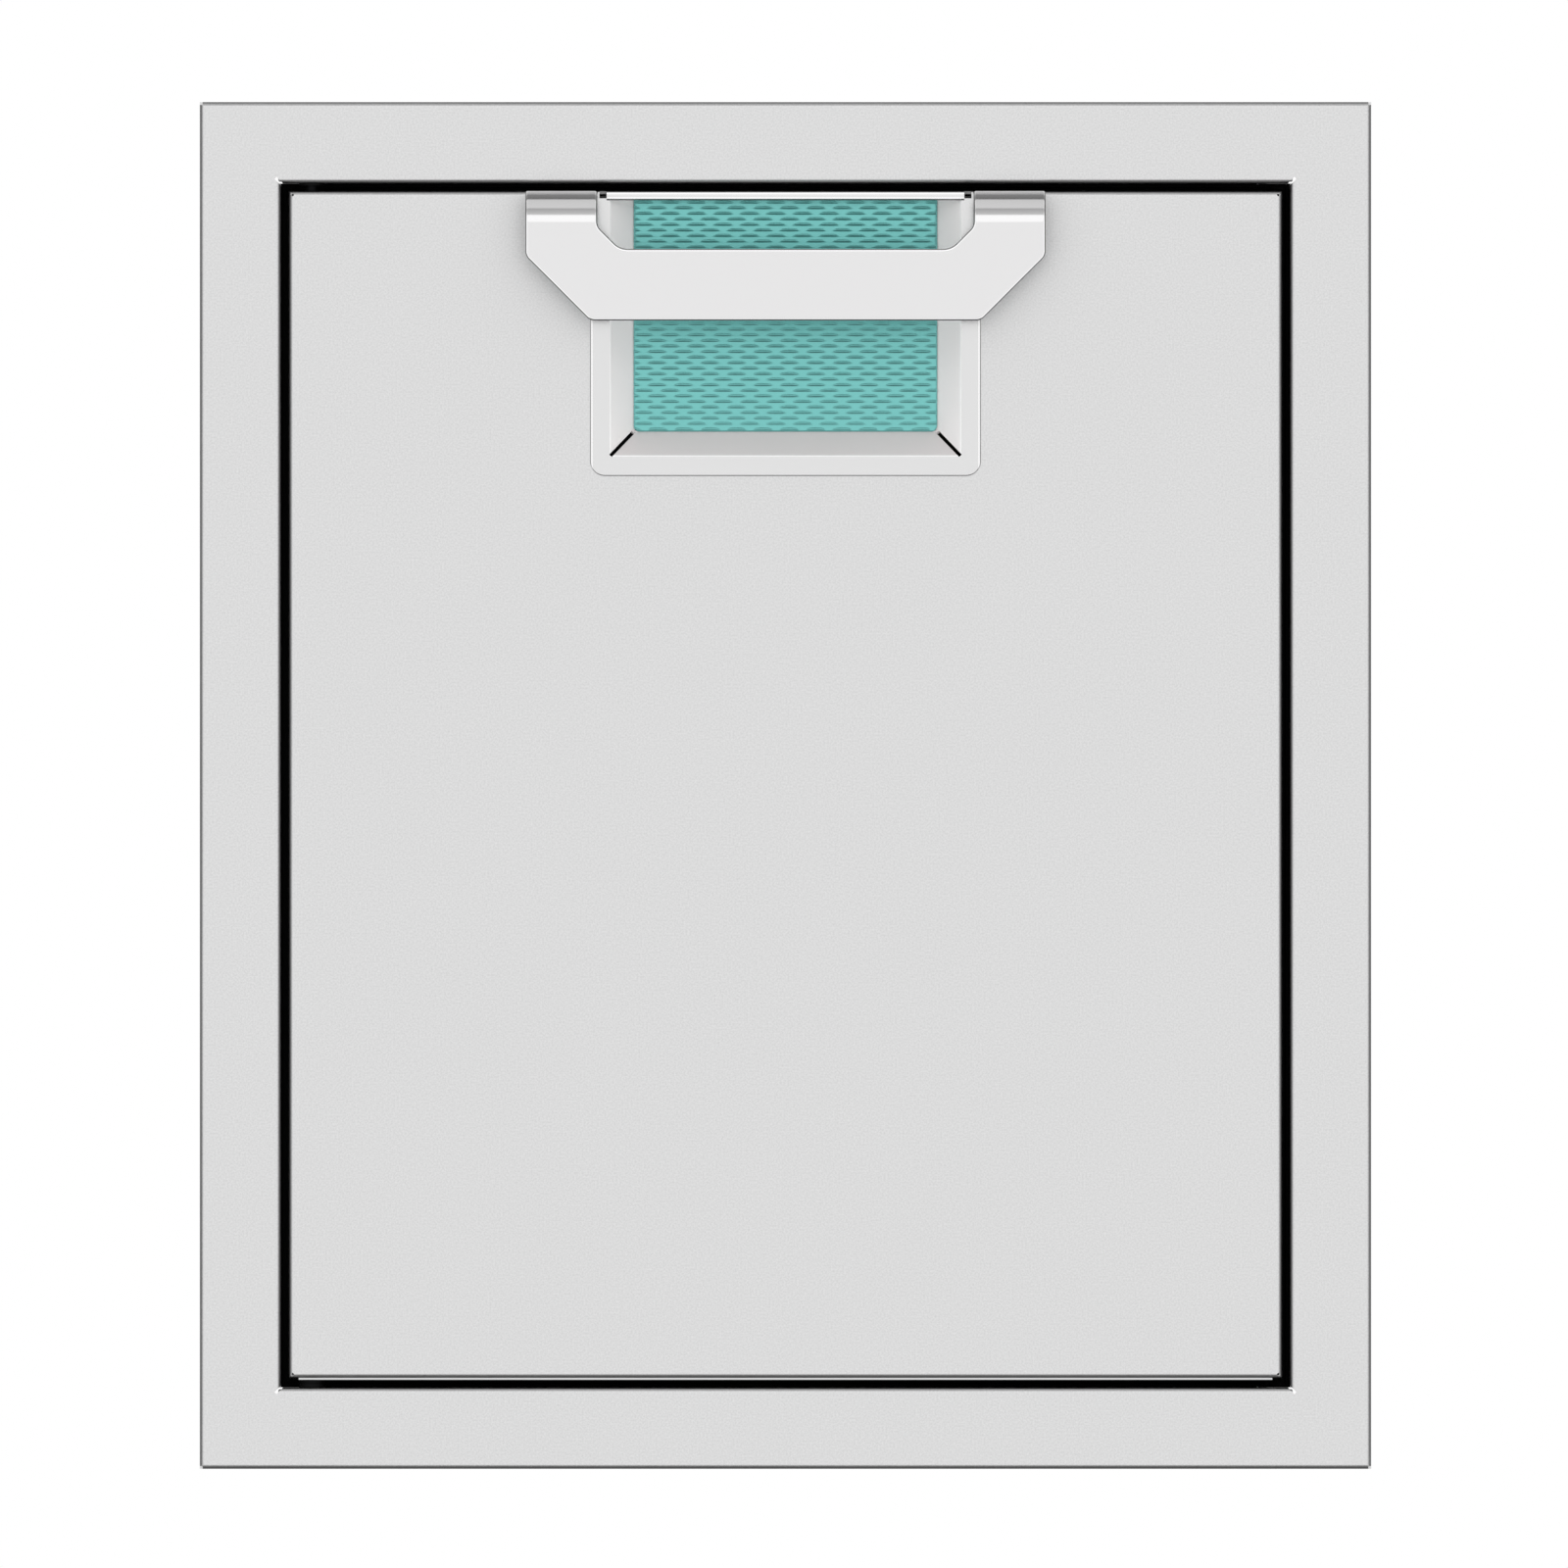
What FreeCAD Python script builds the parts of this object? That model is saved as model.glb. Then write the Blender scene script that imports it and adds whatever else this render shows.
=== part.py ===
"""Flush access door for the face of an outdoor kitchen island.

Millimetres. +X is to the right, +Y into the island and +Z up, seen from in front.
The origin is the centre of the rim that bears on the island's wall.
"""

import FreeCAD
import Part
import math
import os

V = FreeCAD.Vector

# Clearances and the overrun of a cut
HOLE_CLEARANCE = 0.2
PART_CLEARANCE = 0.3
RUNNING_CLEARANCE = 0.05
CUT_MARGIN = 1.0

# Trim frame
FRAME_WIDTH = 517.5
FRAME_HEIGHT = 603.8
FLANGE_WIDTH = 35.8
TRIM_DEPTH = 10.0
RETURN_TO_STOP = 1.6
SHEET = 1.2
BEND_RADIUS = 2.0
CORNER_NOTCH = 1.3
RELIEF_WIDTH = 1.3
RELIEF_LENGTH = 3.3

# Sleeve behind the trim frame
SLEEVE_START = 3.0
SLEEVE_DEPTH = 60.0
SLEEVE_HEM = 12.0
HEM_CLEARANCE = 0.5
SCREW_HOLE_RADIUS = 2.5
SCREW_HOLE_PITCH = 400.0
SCREW_HOLE_FROM_REAR = 14.0

# Stops and seals
STOP_WIDTH = 14.0
STOP_LEG = 28.0
SEAL_WIDTH = 10.0
SEAL_CLEARANCE = 0.3
HINGE_SEAL_THICKNESS = 1.2
HINGE_SEAL_WIDTH = 13.4
SEAL_EDGE = 0.4

# Door panel
SIDE_GAP = 3.6
TOP_GAP = 3.6
BOTTOM_GAP = 3.2
DOOR_THICKNESS = 22.0
DOOR_LIP = 12.0
CORNER_DOT_RADIUS = 0.7
CORNER_DOT_INSET = 1.5
LINER_INSET = 1.5
LINER_FLANGE_INSET = 4.3
LINER_FLANGE_SETBACK = 2.0

# Pull tray
TRAY_WIDTH = 172.6
TRAY_HEIGHT = 125.4
TRAY_TOP_INSET = 0.35
TRAY_SHEET = 1.0
TRAY_CORNER = 6.5
BEZEL_EDGE = 0.5
MOUTH_BEND = 0.8
BEZEL_SIDE = 9.0
BEZEL_BOTTOM = 8.9
POCKET_DEPTH = 14.0
POCKET_SIDE_SLOPE = 9.95
POCKET_BOTTOM_SLOPE = 10.4
POCKET_SEAM = 1.6
LIP_HEIGHT = 2.8
LIP_LENGTH = 158.0
LIP_PROUD = 1.2
LIP_ROLL = 0.95
LIP_NOTCH = 3.2
LIP_NOTCH_DEPTH = 5.0
INSERT_SHEET = 1.0
INSERT_CLEARANCE = 0.3
INSERT_CORNER = 2.4

# Handle
HANDLE_WIDTH = 229.5
HANDLE_HEIGHT = 57.3
HANDLE_STRIP = 31.6
HANDLE_PLATE = 5.0
HANDLE_STANDOFF = 38.0
HANDLE_TOP_INSET = 0.1
HANDLE_FRONT_BEND = 14.3
HANDLE_REAR_BEND = 7.0
HANDLE_FOOT = 30.0
OUTER_CHAMFER = 28.6
INNER_CHAMFER = 10.0
OUTER_FILLET = 5.2
INNER_FILLET = 8.9
HANDLE_EDGE = 0.5
HANDLE_SCREW_RADIUS = 2.5
HANDLE_SCREW_HEAD_RADIUS = 4.5
HANDLE_SCREW_HEAD = 2.8
HANDLE_SCREW_GRIP = 4.2
HANDLE_SCREW_PITCH = 13.0
BACKPLATE_THICKNESS = 3.0
BACKPLATE_HEIGHT = 26.0
BACKPLATE_CORNER = 3.0

# Hinge line
HINGE_FROM_EDGE = 10.0
PIN_RADIUS = 3.0
BUSH_WALL = 0.9
BUSH_FLANGE_RIM = 1.55
BUSH_FLANGE = 1.0
BUSH_SEAT_CLEARANCE = 0.02
PIN_PLATE = 3.0
PIN_PLATE_BEFORE = 10.0
PIN_PLATE_BEYOND = 20.0
PIN_PLATE_WIDTH = 10.6
PIVOT_BLOCK_WIDTH = 17.5
PIVOT_BLOCK_DEPTH = 12.0
LOWER_BLOCK_HEIGHT = 15.0
UPPER_BLOCK_HEIGHT = 22.0
WASHER_CLEARANCE = 0.2
PIN_HEAD_RIM = 2.0
PIN_HEAD = 2.0
PIN_CHAMFER = 0.75
LOWER_PIN_REACH = 18.0
UPPER_PIN_ENTRY = 4.5
UPPER_PIN_TAIL = 4.0
PIN_TRAVEL = 10.0

# Sprung pin
COLLAR_RIM = 1.8
COLLAR = 2.0
LEVER_PLATE = 2.5
LEVER_WIDTH = 6.0
LEVER_REACH = 14.0
LEVER_PROUD = 8.0
LEVER_PAD = 10.0
LEVER_TIP_RADIUS = 0.8
LEVER_BEND = 3.0
LEVER_SLOT_CLEARANCE = 1.0
CLIP_RIM = 1.8
CLIP_PLATE = 0.8
CLIP_GROOVE = 0.6
CLIP_MOUTH = 3.9
SPRING_LENGTH = 24.0
SPRING_WIRE = 1.0
SPRING_GAP = 0.6
SPRING_TURNS = 4
SEAT_SHEET = 1.5
SEAT_BEND = 3.0
SEAT_DROP = 15.0
SEAT_FORWARD = 4.0
SEAT_BACK = 6.0

# Stiffening channels
CHANNEL_WIDTH = 30.0
CHANNEL_LIP = 8.0
CHANNEL_OFFSET = 150.0
CHANNEL_END_CLEARANCE = 1.5

# Liner screws
LINER_SCREW_RADIUS = 2.0
LINER_SCREW_HEAD_RADIUS = 3.2
LINER_SCREW_TIP = 1.6
LINER_SCREW_EDGE = 6.2
LINER_SCREW_END = 45.0
LINER_SCREWS_SIDE = 3
LINER_SCREWS_TOP = 2

# Magnetic catches
CATCH_HEIGHT = 170.0
CATCH_FROM_EDGE = 25.0
STRIKE_WIDTH = 18.0
STRIKE_LENGTH = 40.0
STRIKE_PLATE = 1.2
STRIKE_RIVET_RADIUS = 1.6
STRIKE_RIVET_HEAD_RADIUS = 2.6
STRIKE_RIVET_HEAD = 0.5
STRIKE_RIVET_PITCH = 30.0
STRIKE_CORNER = 3.0
CATCH_CLEARANCE = 0.3
HOUSING_WIDTH = 16.0
HOUSING_LENGTH = 40.0
HOUSING_DEPTH = 15.0
HOUSING_SETBACK = 2.0
HOUSING_EDGE = 2.0
MAGNET_WIDTH = 6.0
MAGNET_LENGTH = 26.0
MAGNET_SETBACK = 2.5
POLE_PLATE = 1.6
POLE_DEPTH = 12.0
BRACKET_PLATE = 1.5
BRACKET_BEND = 3.0
CATCH_SCREW_RADIUS = 1.75
CATCH_SCREW_HEAD_RADIUS = 3.2
CATCH_SCREW_HEAD = 1.8
CATCH_SCREW_LENGTH = 7.0
CATCH_SCREW_PITCH = 33.0

# Places worked out from the sizes above
OPEN_X = FRAME_WIDTH / 2 - FLANGE_WIDTH
OPEN_Z = FRAME_HEIGHT / 2 - FLANGE_WIDTH
FRONT_Y = -TRIM_DEPTH
DOOR_X = OPEN_X - SIDE_GAP
DOOR_TOP = OPEN_Z - TOP_GAP
DOOR_BOTTOM = -OPEN_Z + BOTTOM_GAP + SHEET
DOOR_BACK = FRONT_Y + DOOR_THICKNESS
SKIN_BACK = DOOR_BACK - SHEET
BUSH_RADIUS = PIN_RADIUS + RUNNING_CLEARANCE + BUSH_WALL
BUSH_HOLE_RADIUS = BUSH_RADIUS + BUSH_SEAT_CLEARANCE
BUSH_FLANGE_RADIUS = BUSH_RADIUS + BUSH_FLANGE_RIM
PIN_HEAD_RADIUS = PIN_RADIUS + PIN_HEAD_RIM
COLLAR_RADIUS = PIN_RADIUS + COLLAR_RIM
CLIP_RADIUS = PIN_RADIUS + CLIP_RIM
SPRING_RADIUS = PIN_RADIUS + SPRING_GAP + SPRING_WIRE / 2
HINGE_X = -DOOR_X + HINGE_FROM_EDGE
HINGE_Y = FRONT_Y + SHEET + max(PIN_HEAD_RADIUS, COLLAR_RADIUS, CLIP_RADIUS) + PART_CLEARANCE
LINER_SWING = math.hypot(HINGE_FROM_EDGE - LINER_INSET, DOOR_BACK - HINGE_Y)
SKIN_SWING = math.hypot(HINGE_FROM_EDGE, SKIN_BACK - HINGE_Y)
SWING_RADIUS = max(LINER_SWING, SKIN_SWING)
STOP_Y = HINGE_Y + SWING_RADIUS + PART_CLEARANCE + HINGE_SEAL_THICKNESS
RETURN_Y = STOP_Y - RETURN_TO_STOP
SEAL_FRONT = DOOR_BACK + SEAL_CLEARANCE
SEAL_RELIEF_X = HINGE_X + math.sqrt(SWING_RADIUS**2 - (SEAL_FRONT - HINGE_Y) ** 2) + PART_CLEARANCE
SLEEVE_X = OPEN_X + SHEET
SLEEVE_Z = OPEN_Z + SHEET

TRAY_TOP = DOOR_TOP - TRAY_TOP_INSET
TRAY_BOTTOM = TRAY_TOP - TRAY_HEIGHT
BEZEL_FRONT = FRONT_Y - TRAY_SHEET
MOUTH_X = TRAY_WIDTH / 2 - BEZEL_SIDE
MOUTH_TOP = TRAY_TOP - LIP_HEIGHT
MOUTH_BOTTOM = TRAY_BOTTOM + BEZEL_BOTTOM
FLOOR_X = MOUTH_X - POCKET_SIDE_SLOPE
FLOOR_BOTTOM = MOUTH_BOTTOM + POCKET_BOTTOM_SLOPE
FLOOR_Y = BEZEL_FRONT + POCKET_DEPTH

HANDLE_TOP = DOOR_TOP - HANDLE_TOP_INSET
HANDLE_BOTTOM = HANDLE_TOP - HANDLE_HEIGHT
HANDLE_FRONT = FRONT_Y - HANDLE_STANDOFF
ARM_X = HANDLE_WIDTH / 2 - HANDLE_STRIP / 2
FOOT_BOTTOM = HANDLE_TOP - HANDLE_FOOT
FOOT_SCREW_Z = FOOT_BOTTOM + (HANDLE_FOOT - HANDLE_REAR_BEND) / 2

LEVER_Z = DOOR_TOP - SHEET - UPPER_BLOCK_HEIGHT - CLIP_PLATE - LEVER_PLATE - PART_CLEARANCE
COLLAR_Z = LEVER_Z - COLLAR
SPRING_BOTTOM = COLLAR_Z - SPRING_LENGTH
LEVER_X = HINGE_X + LEVER_REACH
LEVER_BACK = DOOR_BACK + LEVER_PROUD

CATCH_X = DOOR_X - CATCH_FROM_EDGE
STRIKE_BACK = DOOR_BACK + STRIKE_PLATE
POLE_FRONT = STRIKE_BACK + STRIKE_RIVET_HEAD + CATCH_CLEARANCE
HOUSING_FRONT = POLE_FRONT + HOUSING_SETBACK
HOUSING_BACK = HOUSING_FRONT + HOUSING_DEPTH
BRACKET_BACK = HOUSING_BACK + BRACKET_PLATE


def block(x_limits, y_limits, z_limits):
    """Box between the two limits of each axis."""
    low = V(min(x_limits), min(y_limits), min(z_limits))
    size_x = abs(x_limits[1] - x_limits[0])
    size_y = abs(y_limits[1] - y_limits[0])
    size_z = abs(z_limits[1] - z_limits[0])
    return Part.makeBox(size_x, size_y, size_z, low)


def rod_z(x, y, z_low, z_high, radius):
    """Upright cylinder between two heights."""
    return Part.makeCylinder(radius, z_high - z_low, V(x, y, z_low), V(0, 0, 1))


def rod_y(x, z, y_low, y_high, radius):
    """Cylinder along the depth of the door."""
    return Part.makeCylinder(radius, y_high - y_low, V(x, y_low, z), V(0, 1, 0))


def rod_x(y, z, x_low, x_high, radius):
    """Cylinder along the width of the door."""
    return Part.makeCylinder(radius, x_high - x_low, V(x_low, y, z), V(1, 0, 0))


def edges_where(shape, test):
    """Edges whose every end point passes the test."""
    return [edge for edge in shape.Edges if all(test(vertex.Point) for vertex in edge.Vertexes)]


def at(value, target):
    """True where a coordinate sits on a plane."""
    return abs(value - target) < 1e-4


def left_of(direction):
    """The direction turned a quarter turn to the left, in the XY plane."""
    return V(-direction.y, direction.x, 0)


def folded_section(corners, side, sheet, bend):
    """Face of a folded strip, drawn in the XY plane.

    One side of the strip runs through the corners. Its other side lies one thickness to
    the left of the way along them where side is 1, and to the right where it is -1.
    Every fold has the outside radius bend.
    """
    near = []
    far = []
    last_near = corners[0]
    heading = (corners[1] - corners[0]).normalize()
    last_far = last_near + left_of(heading) * side * sheet
    first_far = last_far
    for here, after in zip(corners[1:-1], corners[2:]):
        turn_to = (after - here).normalize()
        turn = math.atan2(heading.x * turn_to.y - heading.y * turn_to.x, heading.dot(turn_to))
        way = math.copysign(1, turn)
        near_radius = bend if way == side else bend - sheet
        far_radius = bend - sheet if way == side else bend
        back = near_radius * math.tan(abs(turn) / 2)
        start = here - heading * back
        end = here + turn_to * back
        centre = start + left_of(heading) * way * near_radius
        middle = (here - centre).normalize()
        far_start = centre + (start - centre).normalize() * far_radius
        far_end = centre + (end - centre).normalize() * far_radius
        near += [
            Part.LineSegment(last_near, start).toShape(),
            Part.Arc(start, centre + middle * near_radius, end).toShape(),
        ]
        far += [
            Part.LineSegment(last_far, far_start).toShape(),
            Part.Arc(far_start, centre + middle * far_radius, far_end).toShape(),
        ]
        last_near = end
        last_far = far_end
        heading = turn_to
    finish = corners[-1]
    far_finish = finish + left_of(heading) * side * sheet
    near.append(Part.LineSegment(last_near, finish).toShape())
    far.append(Part.LineSegment(last_far, far_finish).toShape())
    caps = [
        Part.LineSegment(finish, far_finish).toShape(),
        Part.LineSegment(first_far, corners[0]).toShape(),
    ]
    return Part.Face(Part.Wire(Part.__sortEdges__(near + far + caps)))


def upright(section, z_low, z_high):
    """Extrudes a section of the XY plane between two heights."""
    face = section.copy()
    face.translate(V(0, 0, z_low))
    return face.extrude(V(0, 0, z_high - z_low))


def level(section, x_low, x_high):
    """Extrudes a section drawn as (depth, height) between two places along X."""
    face = section.copy()
    turned = FreeCAD.Rotation(V(0, 1, 0), V(0, 0, 1), V(1, 0, 0), "XYZ")
    face.Placement = FreeCAD.Placement(V(x_low, 0, 0), turned)
    return face.extrude(V(x_high - x_low, 0, 0))


def rounded_outline(corners, radii):
    """Closed wire through the corners, each rounded with its own radius."""
    edges = []
    count = len(corners)
    starts = []
    ends = []
    middles = []
    for index, here in enumerate(corners):
        to_before = (corners[index - 1] - here).normalize()
        to_after = (corners[(index + 1) % count] - here).normalize()
        half = to_before.getAngle(to_after) / 2
        back = radii[index] / math.tan(half)
        starts.append(here + to_before * back)
        ends.append(here + to_after * back)
        bisector = (to_before + to_after).normalize()
        middles.append(here + bisector * (radii[index] / math.sin(half) - radii[index]))
    for index in range(count):
        if radii[index] > 0:
            edges.append(Part.Arc(starts[index], middles[index], ends[index]).toShape())
        following = (index + 1) % count
        edges.append(Part.LineSegment(ends[index], starts[following]).toShape())
    return Part.Wire(edges)


def mirrored_x(shape):
    """The same piece on the other side of the door's centre plane."""
    return shape.mirror(V(0, 0, 0), V(1, 0, 0))


def mirrored_z(shape):
    """The same piece at the other end of the frame."""
    return shape.mirror(V(0, 0, 0), V(0, 0, 1))


def both_x(shape):
    """A piece and its mirror image, as two solids."""
    return [shape, mirrored_x(shape)]


def save(name, solids):
    """Writes one node, which may hold several separate solids."""
    solids = solids if isinstance(solids, list) else [solids]
    solids = [solid for shape in solids for solid in shape.Solids]
    for solid in solids:
        if not solid.isValid() or solid.Volume <= 0:
            raise ValueError(name + " is not a sound solid")
    shape = solids[0] if len(solids) == 1 else Part.makeCompound(solids)
    shape.exportStep(os.path.join("parts", name + ".step"))


# Trim frame


def face_frame():
    """Ring with a flange in front, an outer return to the wall and an inner return.

    Every fold is rounded and the outer corners are notched. At each corner of the opening a
    slot relieves the folds, and the inner return is open, so that light shows through.
    """
    half_x = FRAME_WIDTH / 2
    half_z = FRAME_HEIGHT / 2
    outside = block((-half_x, half_x), (FRONT_Y, 0), (-half_z, half_z))
    outside = outside.makeFillet(BEND_RADIUS, edges_where(outside, lambda p: at(p.y, FRONT_Y)))
    inner_x = half_x - SHEET
    inner_z = half_z - SHEET
    back_y = FRONT_Y + SHEET
    hollow = block((-inner_x, inner_x), (back_y, CUT_MARGIN), (-inner_z, inner_z))
    hollow = hollow.makeFillet(BEND_RADIUS - SHEET, edges_where(hollow, lambda p: at(p.y, back_y)))
    ring = outside.cut(hollow)
    ring = ring.fuse(block((-SLEEVE_X, SLEEVE_X), (back_y, RETURN_Y), (-SLEEVE_Z, SLEEVE_Z)))
    opening_depth = (FRONT_Y - CUT_MARGIN, RETURN_Y + CUT_MARGIN)
    ring = ring.cut(block((-OPEN_X, OPEN_X), opening_depth, (-OPEN_Z, OPEN_Z))).removeSplitter()
    root = edges_where(ring, lambda p: at(p.y, back_y) and at(abs(p.x), SLEEVE_X) and at(abs(p.z), SLEEVE_Z))
    ring = ring.makeFillet(BEND_RADIUS - SHEET, root)
    mouth = edges_where(ring, lambda p: at(p.y, FRONT_Y) and at(abs(p.x), OPEN_X) and at(abs(p.z), OPEN_Z))
    ring = ring.makeFillet(BEND_RADIUS, mouth)
    notch_y = (FRONT_Y - CUT_MARGIN, FRONT_Y + BEND_RADIUS)
    cutters = []
    for way_x in (-1, 1):
        for way_z in (-1, 1):
            notch_x = (way_x * (half_x - CORNER_NOTCH), way_x * (half_x + CUT_MARGIN))
            notch_z = (way_z * (half_z - CORNER_NOTCH), way_z * (half_z + CUT_MARGIN))
            cutters.append(block(notch_x, notch_y, notch_z))
            slot = block((-SHEET, RELIEF_LENGTH), notch_y, (-RELIEF_WIDTH / 2, RELIEF_WIDTH / 2))
            lean = math.degrees(math.atan2(-way_z, way_x))
            slot.rotate(V(0, 0, 0), V(0, 1, 0), lean)
            slot.translate(V(way_x * OPEN_X, 0, way_z * OPEN_Z))
            cutters.append(slot)
            corner_x = (way_x * (OPEN_X - RELIEF_WIDTH / 2), way_x * SLEEVE_X)
            corner_z = (way_z * (OPEN_Z - RELIEF_WIDTH / 2), way_z * SLEEVE_Z)
            cutters.append(block(corner_x, (back_y, RETURN_Y + CUT_MARGIN), corner_z))
    bush_hole = rod_z(HINGE_X, HINGE_Y, OPEN_Z - CUT_MARGIN, SLEEVE_Z + CUT_MARGIN, BUSH_HOLE_RADIUS)
    pin_hole_radius = PIN_RADIUS + BUSH_SEAT_CLEARANCE
    pin_hole = rod_z(HINGE_X, HINGE_Y, -SLEEVE_Z - CUT_MARGIN, -OPEN_Z + CUT_MARGIN, pin_hole_radius)
    cutters += [bush_hole, pin_hole]
    return ring.cut(Part.makeCompound(cutters))


# Sleeve


def jamb():
    """Left side of the sleeve: a flat sheet with a hem at the rear and two screw holes."""
    outer_x = -SLEEVE_X - SHEET
    corners = [
        V(outer_x, SLEEVE_START),
        V(outer_x, SLEEVE_DEPTH),
        V(outer_x + SLEEVE_HEM, SLEEVE_DEPTH),
    ]
    panel = upright(folded_section(corners, -1, SHEET, BEND_RADIUS), -OPEN_Z, OPEN_Z)
    hole_y = SLEEVE_DEPTH - SCREW_HOLE_FROM_REAR
    reach = (outer_x - CUT_MARGIN, outer_x + SHEET + CUT_MARGIN)
    for way in (-1, 1):
        hole = rod_x(hole_y, way * SCREW_HOLE_PITCH / 2, *reach, SCREW_HOLE_RADIUS)
        panel = panel.cut(hole)
    return panel


def head_rail():
    """Top of the sleeve, with its hem cut short to clear the hems of the jambs."""
    outer_z = SLEEVE_Z + SHEET
    corners = [
        V(SLEEVE_START, outer_z),
        V(SLEEVE_DEPTH, outer_z),
        V(SLEEVE_DEPTH, outer_z - SLEEVE_HEM),
    ]
    rail = level(folded_section(corners, -1, SHEET, BEND_RADIUS), -SLEEVE_X, SLEEVE_X)
    hem_x = SLEEVE_X + SHEET - SLEEVE_HEM - HEM_CLEARANCE
    hem_y = (SLEEVE_DEPTH - BEND_RADIUS, SLEEVE_DEPTH + CUT_MARGIN)
    hem_z = (outer_z - SLEEVE_HEM - CUT_MARGIN, outer_z + CUT_MARGIN)
    for way in (-1, 1):
        rail = rail.cut(block((way * hem_x, way * (SLEEVE_X + CUT_MARGIN)), hem_y, hem_z))
    return rail


# Stops and seals


def side_stop():
    """Left stop angle: one leg on the jamb and one leg facing the back of the door."""
    corners = [
        V(-OPEN_X + STOP_WIDTH, STOP_Y),
        V(-SLEEVE_X, STOP_Y),
        V(-SLEEVE_X, STOP_Y + STOP_LEG),
    ]
    return upright(folded_section(corners, -1, SHEET, BEND_RADIUS), -OPEN_Z, OPEN_Z)


def top_stop():
    """Top stop angle, which runs between the side stops."""
    corners = [
        V(STOP_Y, OPEN_Z - STOP_WIDTH),
        V(STOP_Y, SLEEVE_Z),
        V(STOP_Y + STOP_LEG, SLEEVE_Z),
    ]
    half = OPEN_X - STOP_WIDTH - HEM_CLEARANCE
    return level(folded_section(corners, -1, SHEET, BEND_RADIUS), -half, half)


def seal(x_limits, z_limits, front):
    """Rubber strip on the front of a stop, with its front edges rounded."""
    strip = block(x_limits, (front, STOP_Y), z_limits)
    return strip.makeFillet(SEAL_EDGE, edges_where(strip, lambda p: at(p.y, front)))


def seals():
    """The four strips.

    The one on the hinge side is thin, because the corner of the door swings past it, and
    the top and bottom strips are cut down to the same thickness at that end.
    """
    edge_x = OPEN_X - SEAL_CLEARANCE
    edge_z = OPEN_Z - SEAL_CLEARANCE
    full = (-edge_z, edge_z)
    thin_front = STOP_Y - HINGE_SEAL_THICKNESS
    latch = seal((edge_x - SEAL_WIDTH, edge_x), full, SEAL_FRONT)
    hinge = seal((-edge_x, -edge_x + HINGE_SEAL_WIDTH), full, thin_front)
    between = (-edge_x + HINGE_SEAL_WIDTH + SEAL_CLEARANCE, edge_x - SEAL_WIDTH - SEAL_CLEARANCE)
    top = seal(between, (edge_z - SEAL_WIDTH, edge_z), SEAL_FRONT)
    step = block(
        (between[0] - CUT_MARGIN, SEAL_RELIEF_X),
        (SEAL_FRONT - CUT_MARGIN, thin_front),
        (edge_z - SEAL_WIDTH - CUT_MARGIN, edge_z + CUT_MARGIN),
    )
    top = top.cut(step)
    return {"latch_seal": latch, "hinge_seal": hinge, "top_seal": top, "bottom_seal": mirrored_z(top)}


# Hinge parts fixed to the frame


def pin_plate(z_low, z_high):
    """Plate that stiffens the inner return where a hinge pin goes through."""
    plate = block(
        (HINGE_X - PIN_PLATE_BEFORE, HINGE_X + PIN_PLATE_BEYOND),
        (SLEEVE_START - PIN_PLATE_WIDTH - HOLE_CLEARANCE, SLEEVE_START - HOLE_CLEARANCE),
        (z_low, z_high),
    )
    return plate


def hinge_hole(radius):
    """Cutter along the hinge line, from below the frame to above it."""
    return rod_z(HINGE_X, HINGE_Y, -FRAME_HEIGHT / 2, FRAME_HEIGHT / 2, radius)


def upper_frame_bush():
    """Flanged bush that takes the top of the sprung pin."""
    top = SLEEVE_Z + PIN_PLATE
    bush = rod_z(HINGE_X, HINGE_Y, OPEN_Z - BUSH_FLANGE, top, BUSH_RADIUS)
    bush = bush.fuse(rod_z(HINGE_X, HINGE_Y, OPEN_Z - BUSH_FLANGE, OPEN_Z, BUSH_FLANGE_RADIUS))
    bore = rod_z(HINGE_X, HINGE_Y, 0, top + CUT_MARGIN, PIN_RADIUS + RUNNING_CLEARANCE)
    return bush.cut(bore)


def lower_hinge_pin():
    """Fixed pin with its head under the sill plate and a chamfered top."""
    low = -SLEEVE_Z - PIN_PLATE
    high = -OPEN_Z + LOWER_PIN_REACH
    pin = rod_z(HINGE_X, HINGE_Y, low - PIN_HEAD, high, PIN_RADIUS)
    pin = pin.makeChamfer(PIN_CHAMFER, edges_where(pin, lambda p: at(p.z, high)))
    return pin.fuse(rod_z(HINGE_X, HINGE_Y, low - PIN_HEAD, low, PIN_HEAD_RADIUS))


def lower_thrust_washer():
    """Washer on the sill that carries the weight of the door."""
    top = -OPEN_Z + BOTTOM_GAP - BUSH_FLANGE - WASHER_CLEARANCE
    washer = rod_z(HINGE_X, HINGE_Y, -OPEN_Z, top, BUSH_FLANGE_RADIUS)
    bore = rod_z(HINGE_X, HINGE_Y, -OPEN_Z, top, PIN_RADIUS + RUNNING_CLEARANCE)
    return washer.cut(bore)


# Hinge parts in the door


def pivot_block(z_low, z_high, bore_radius):
    """Block welded into a corner of the door on the hinge side."""
    x_low = -DOOR_X + SHEET + HOLE_CLEARANCE
    y_low = FRONT_Y + SHEET + HOLE_CLEARANCE
    body = block((x_low, x_low + PIVOT_BLOCK_WIDTH), (y_low, y_low + PIVOT_BLOCK_DEPTH), (z_low, z_high))
    body = body.makeChamfer(BEND_RADIUS - SHEET, edges_where(body, lambda p: at(p.y, y_low)))
    return body.cut(rod_z(HINGE_X, HINGE_Y, z_low - CUT_MARGIN, z_high + CUT_MARGIN, bore_radius))


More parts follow.
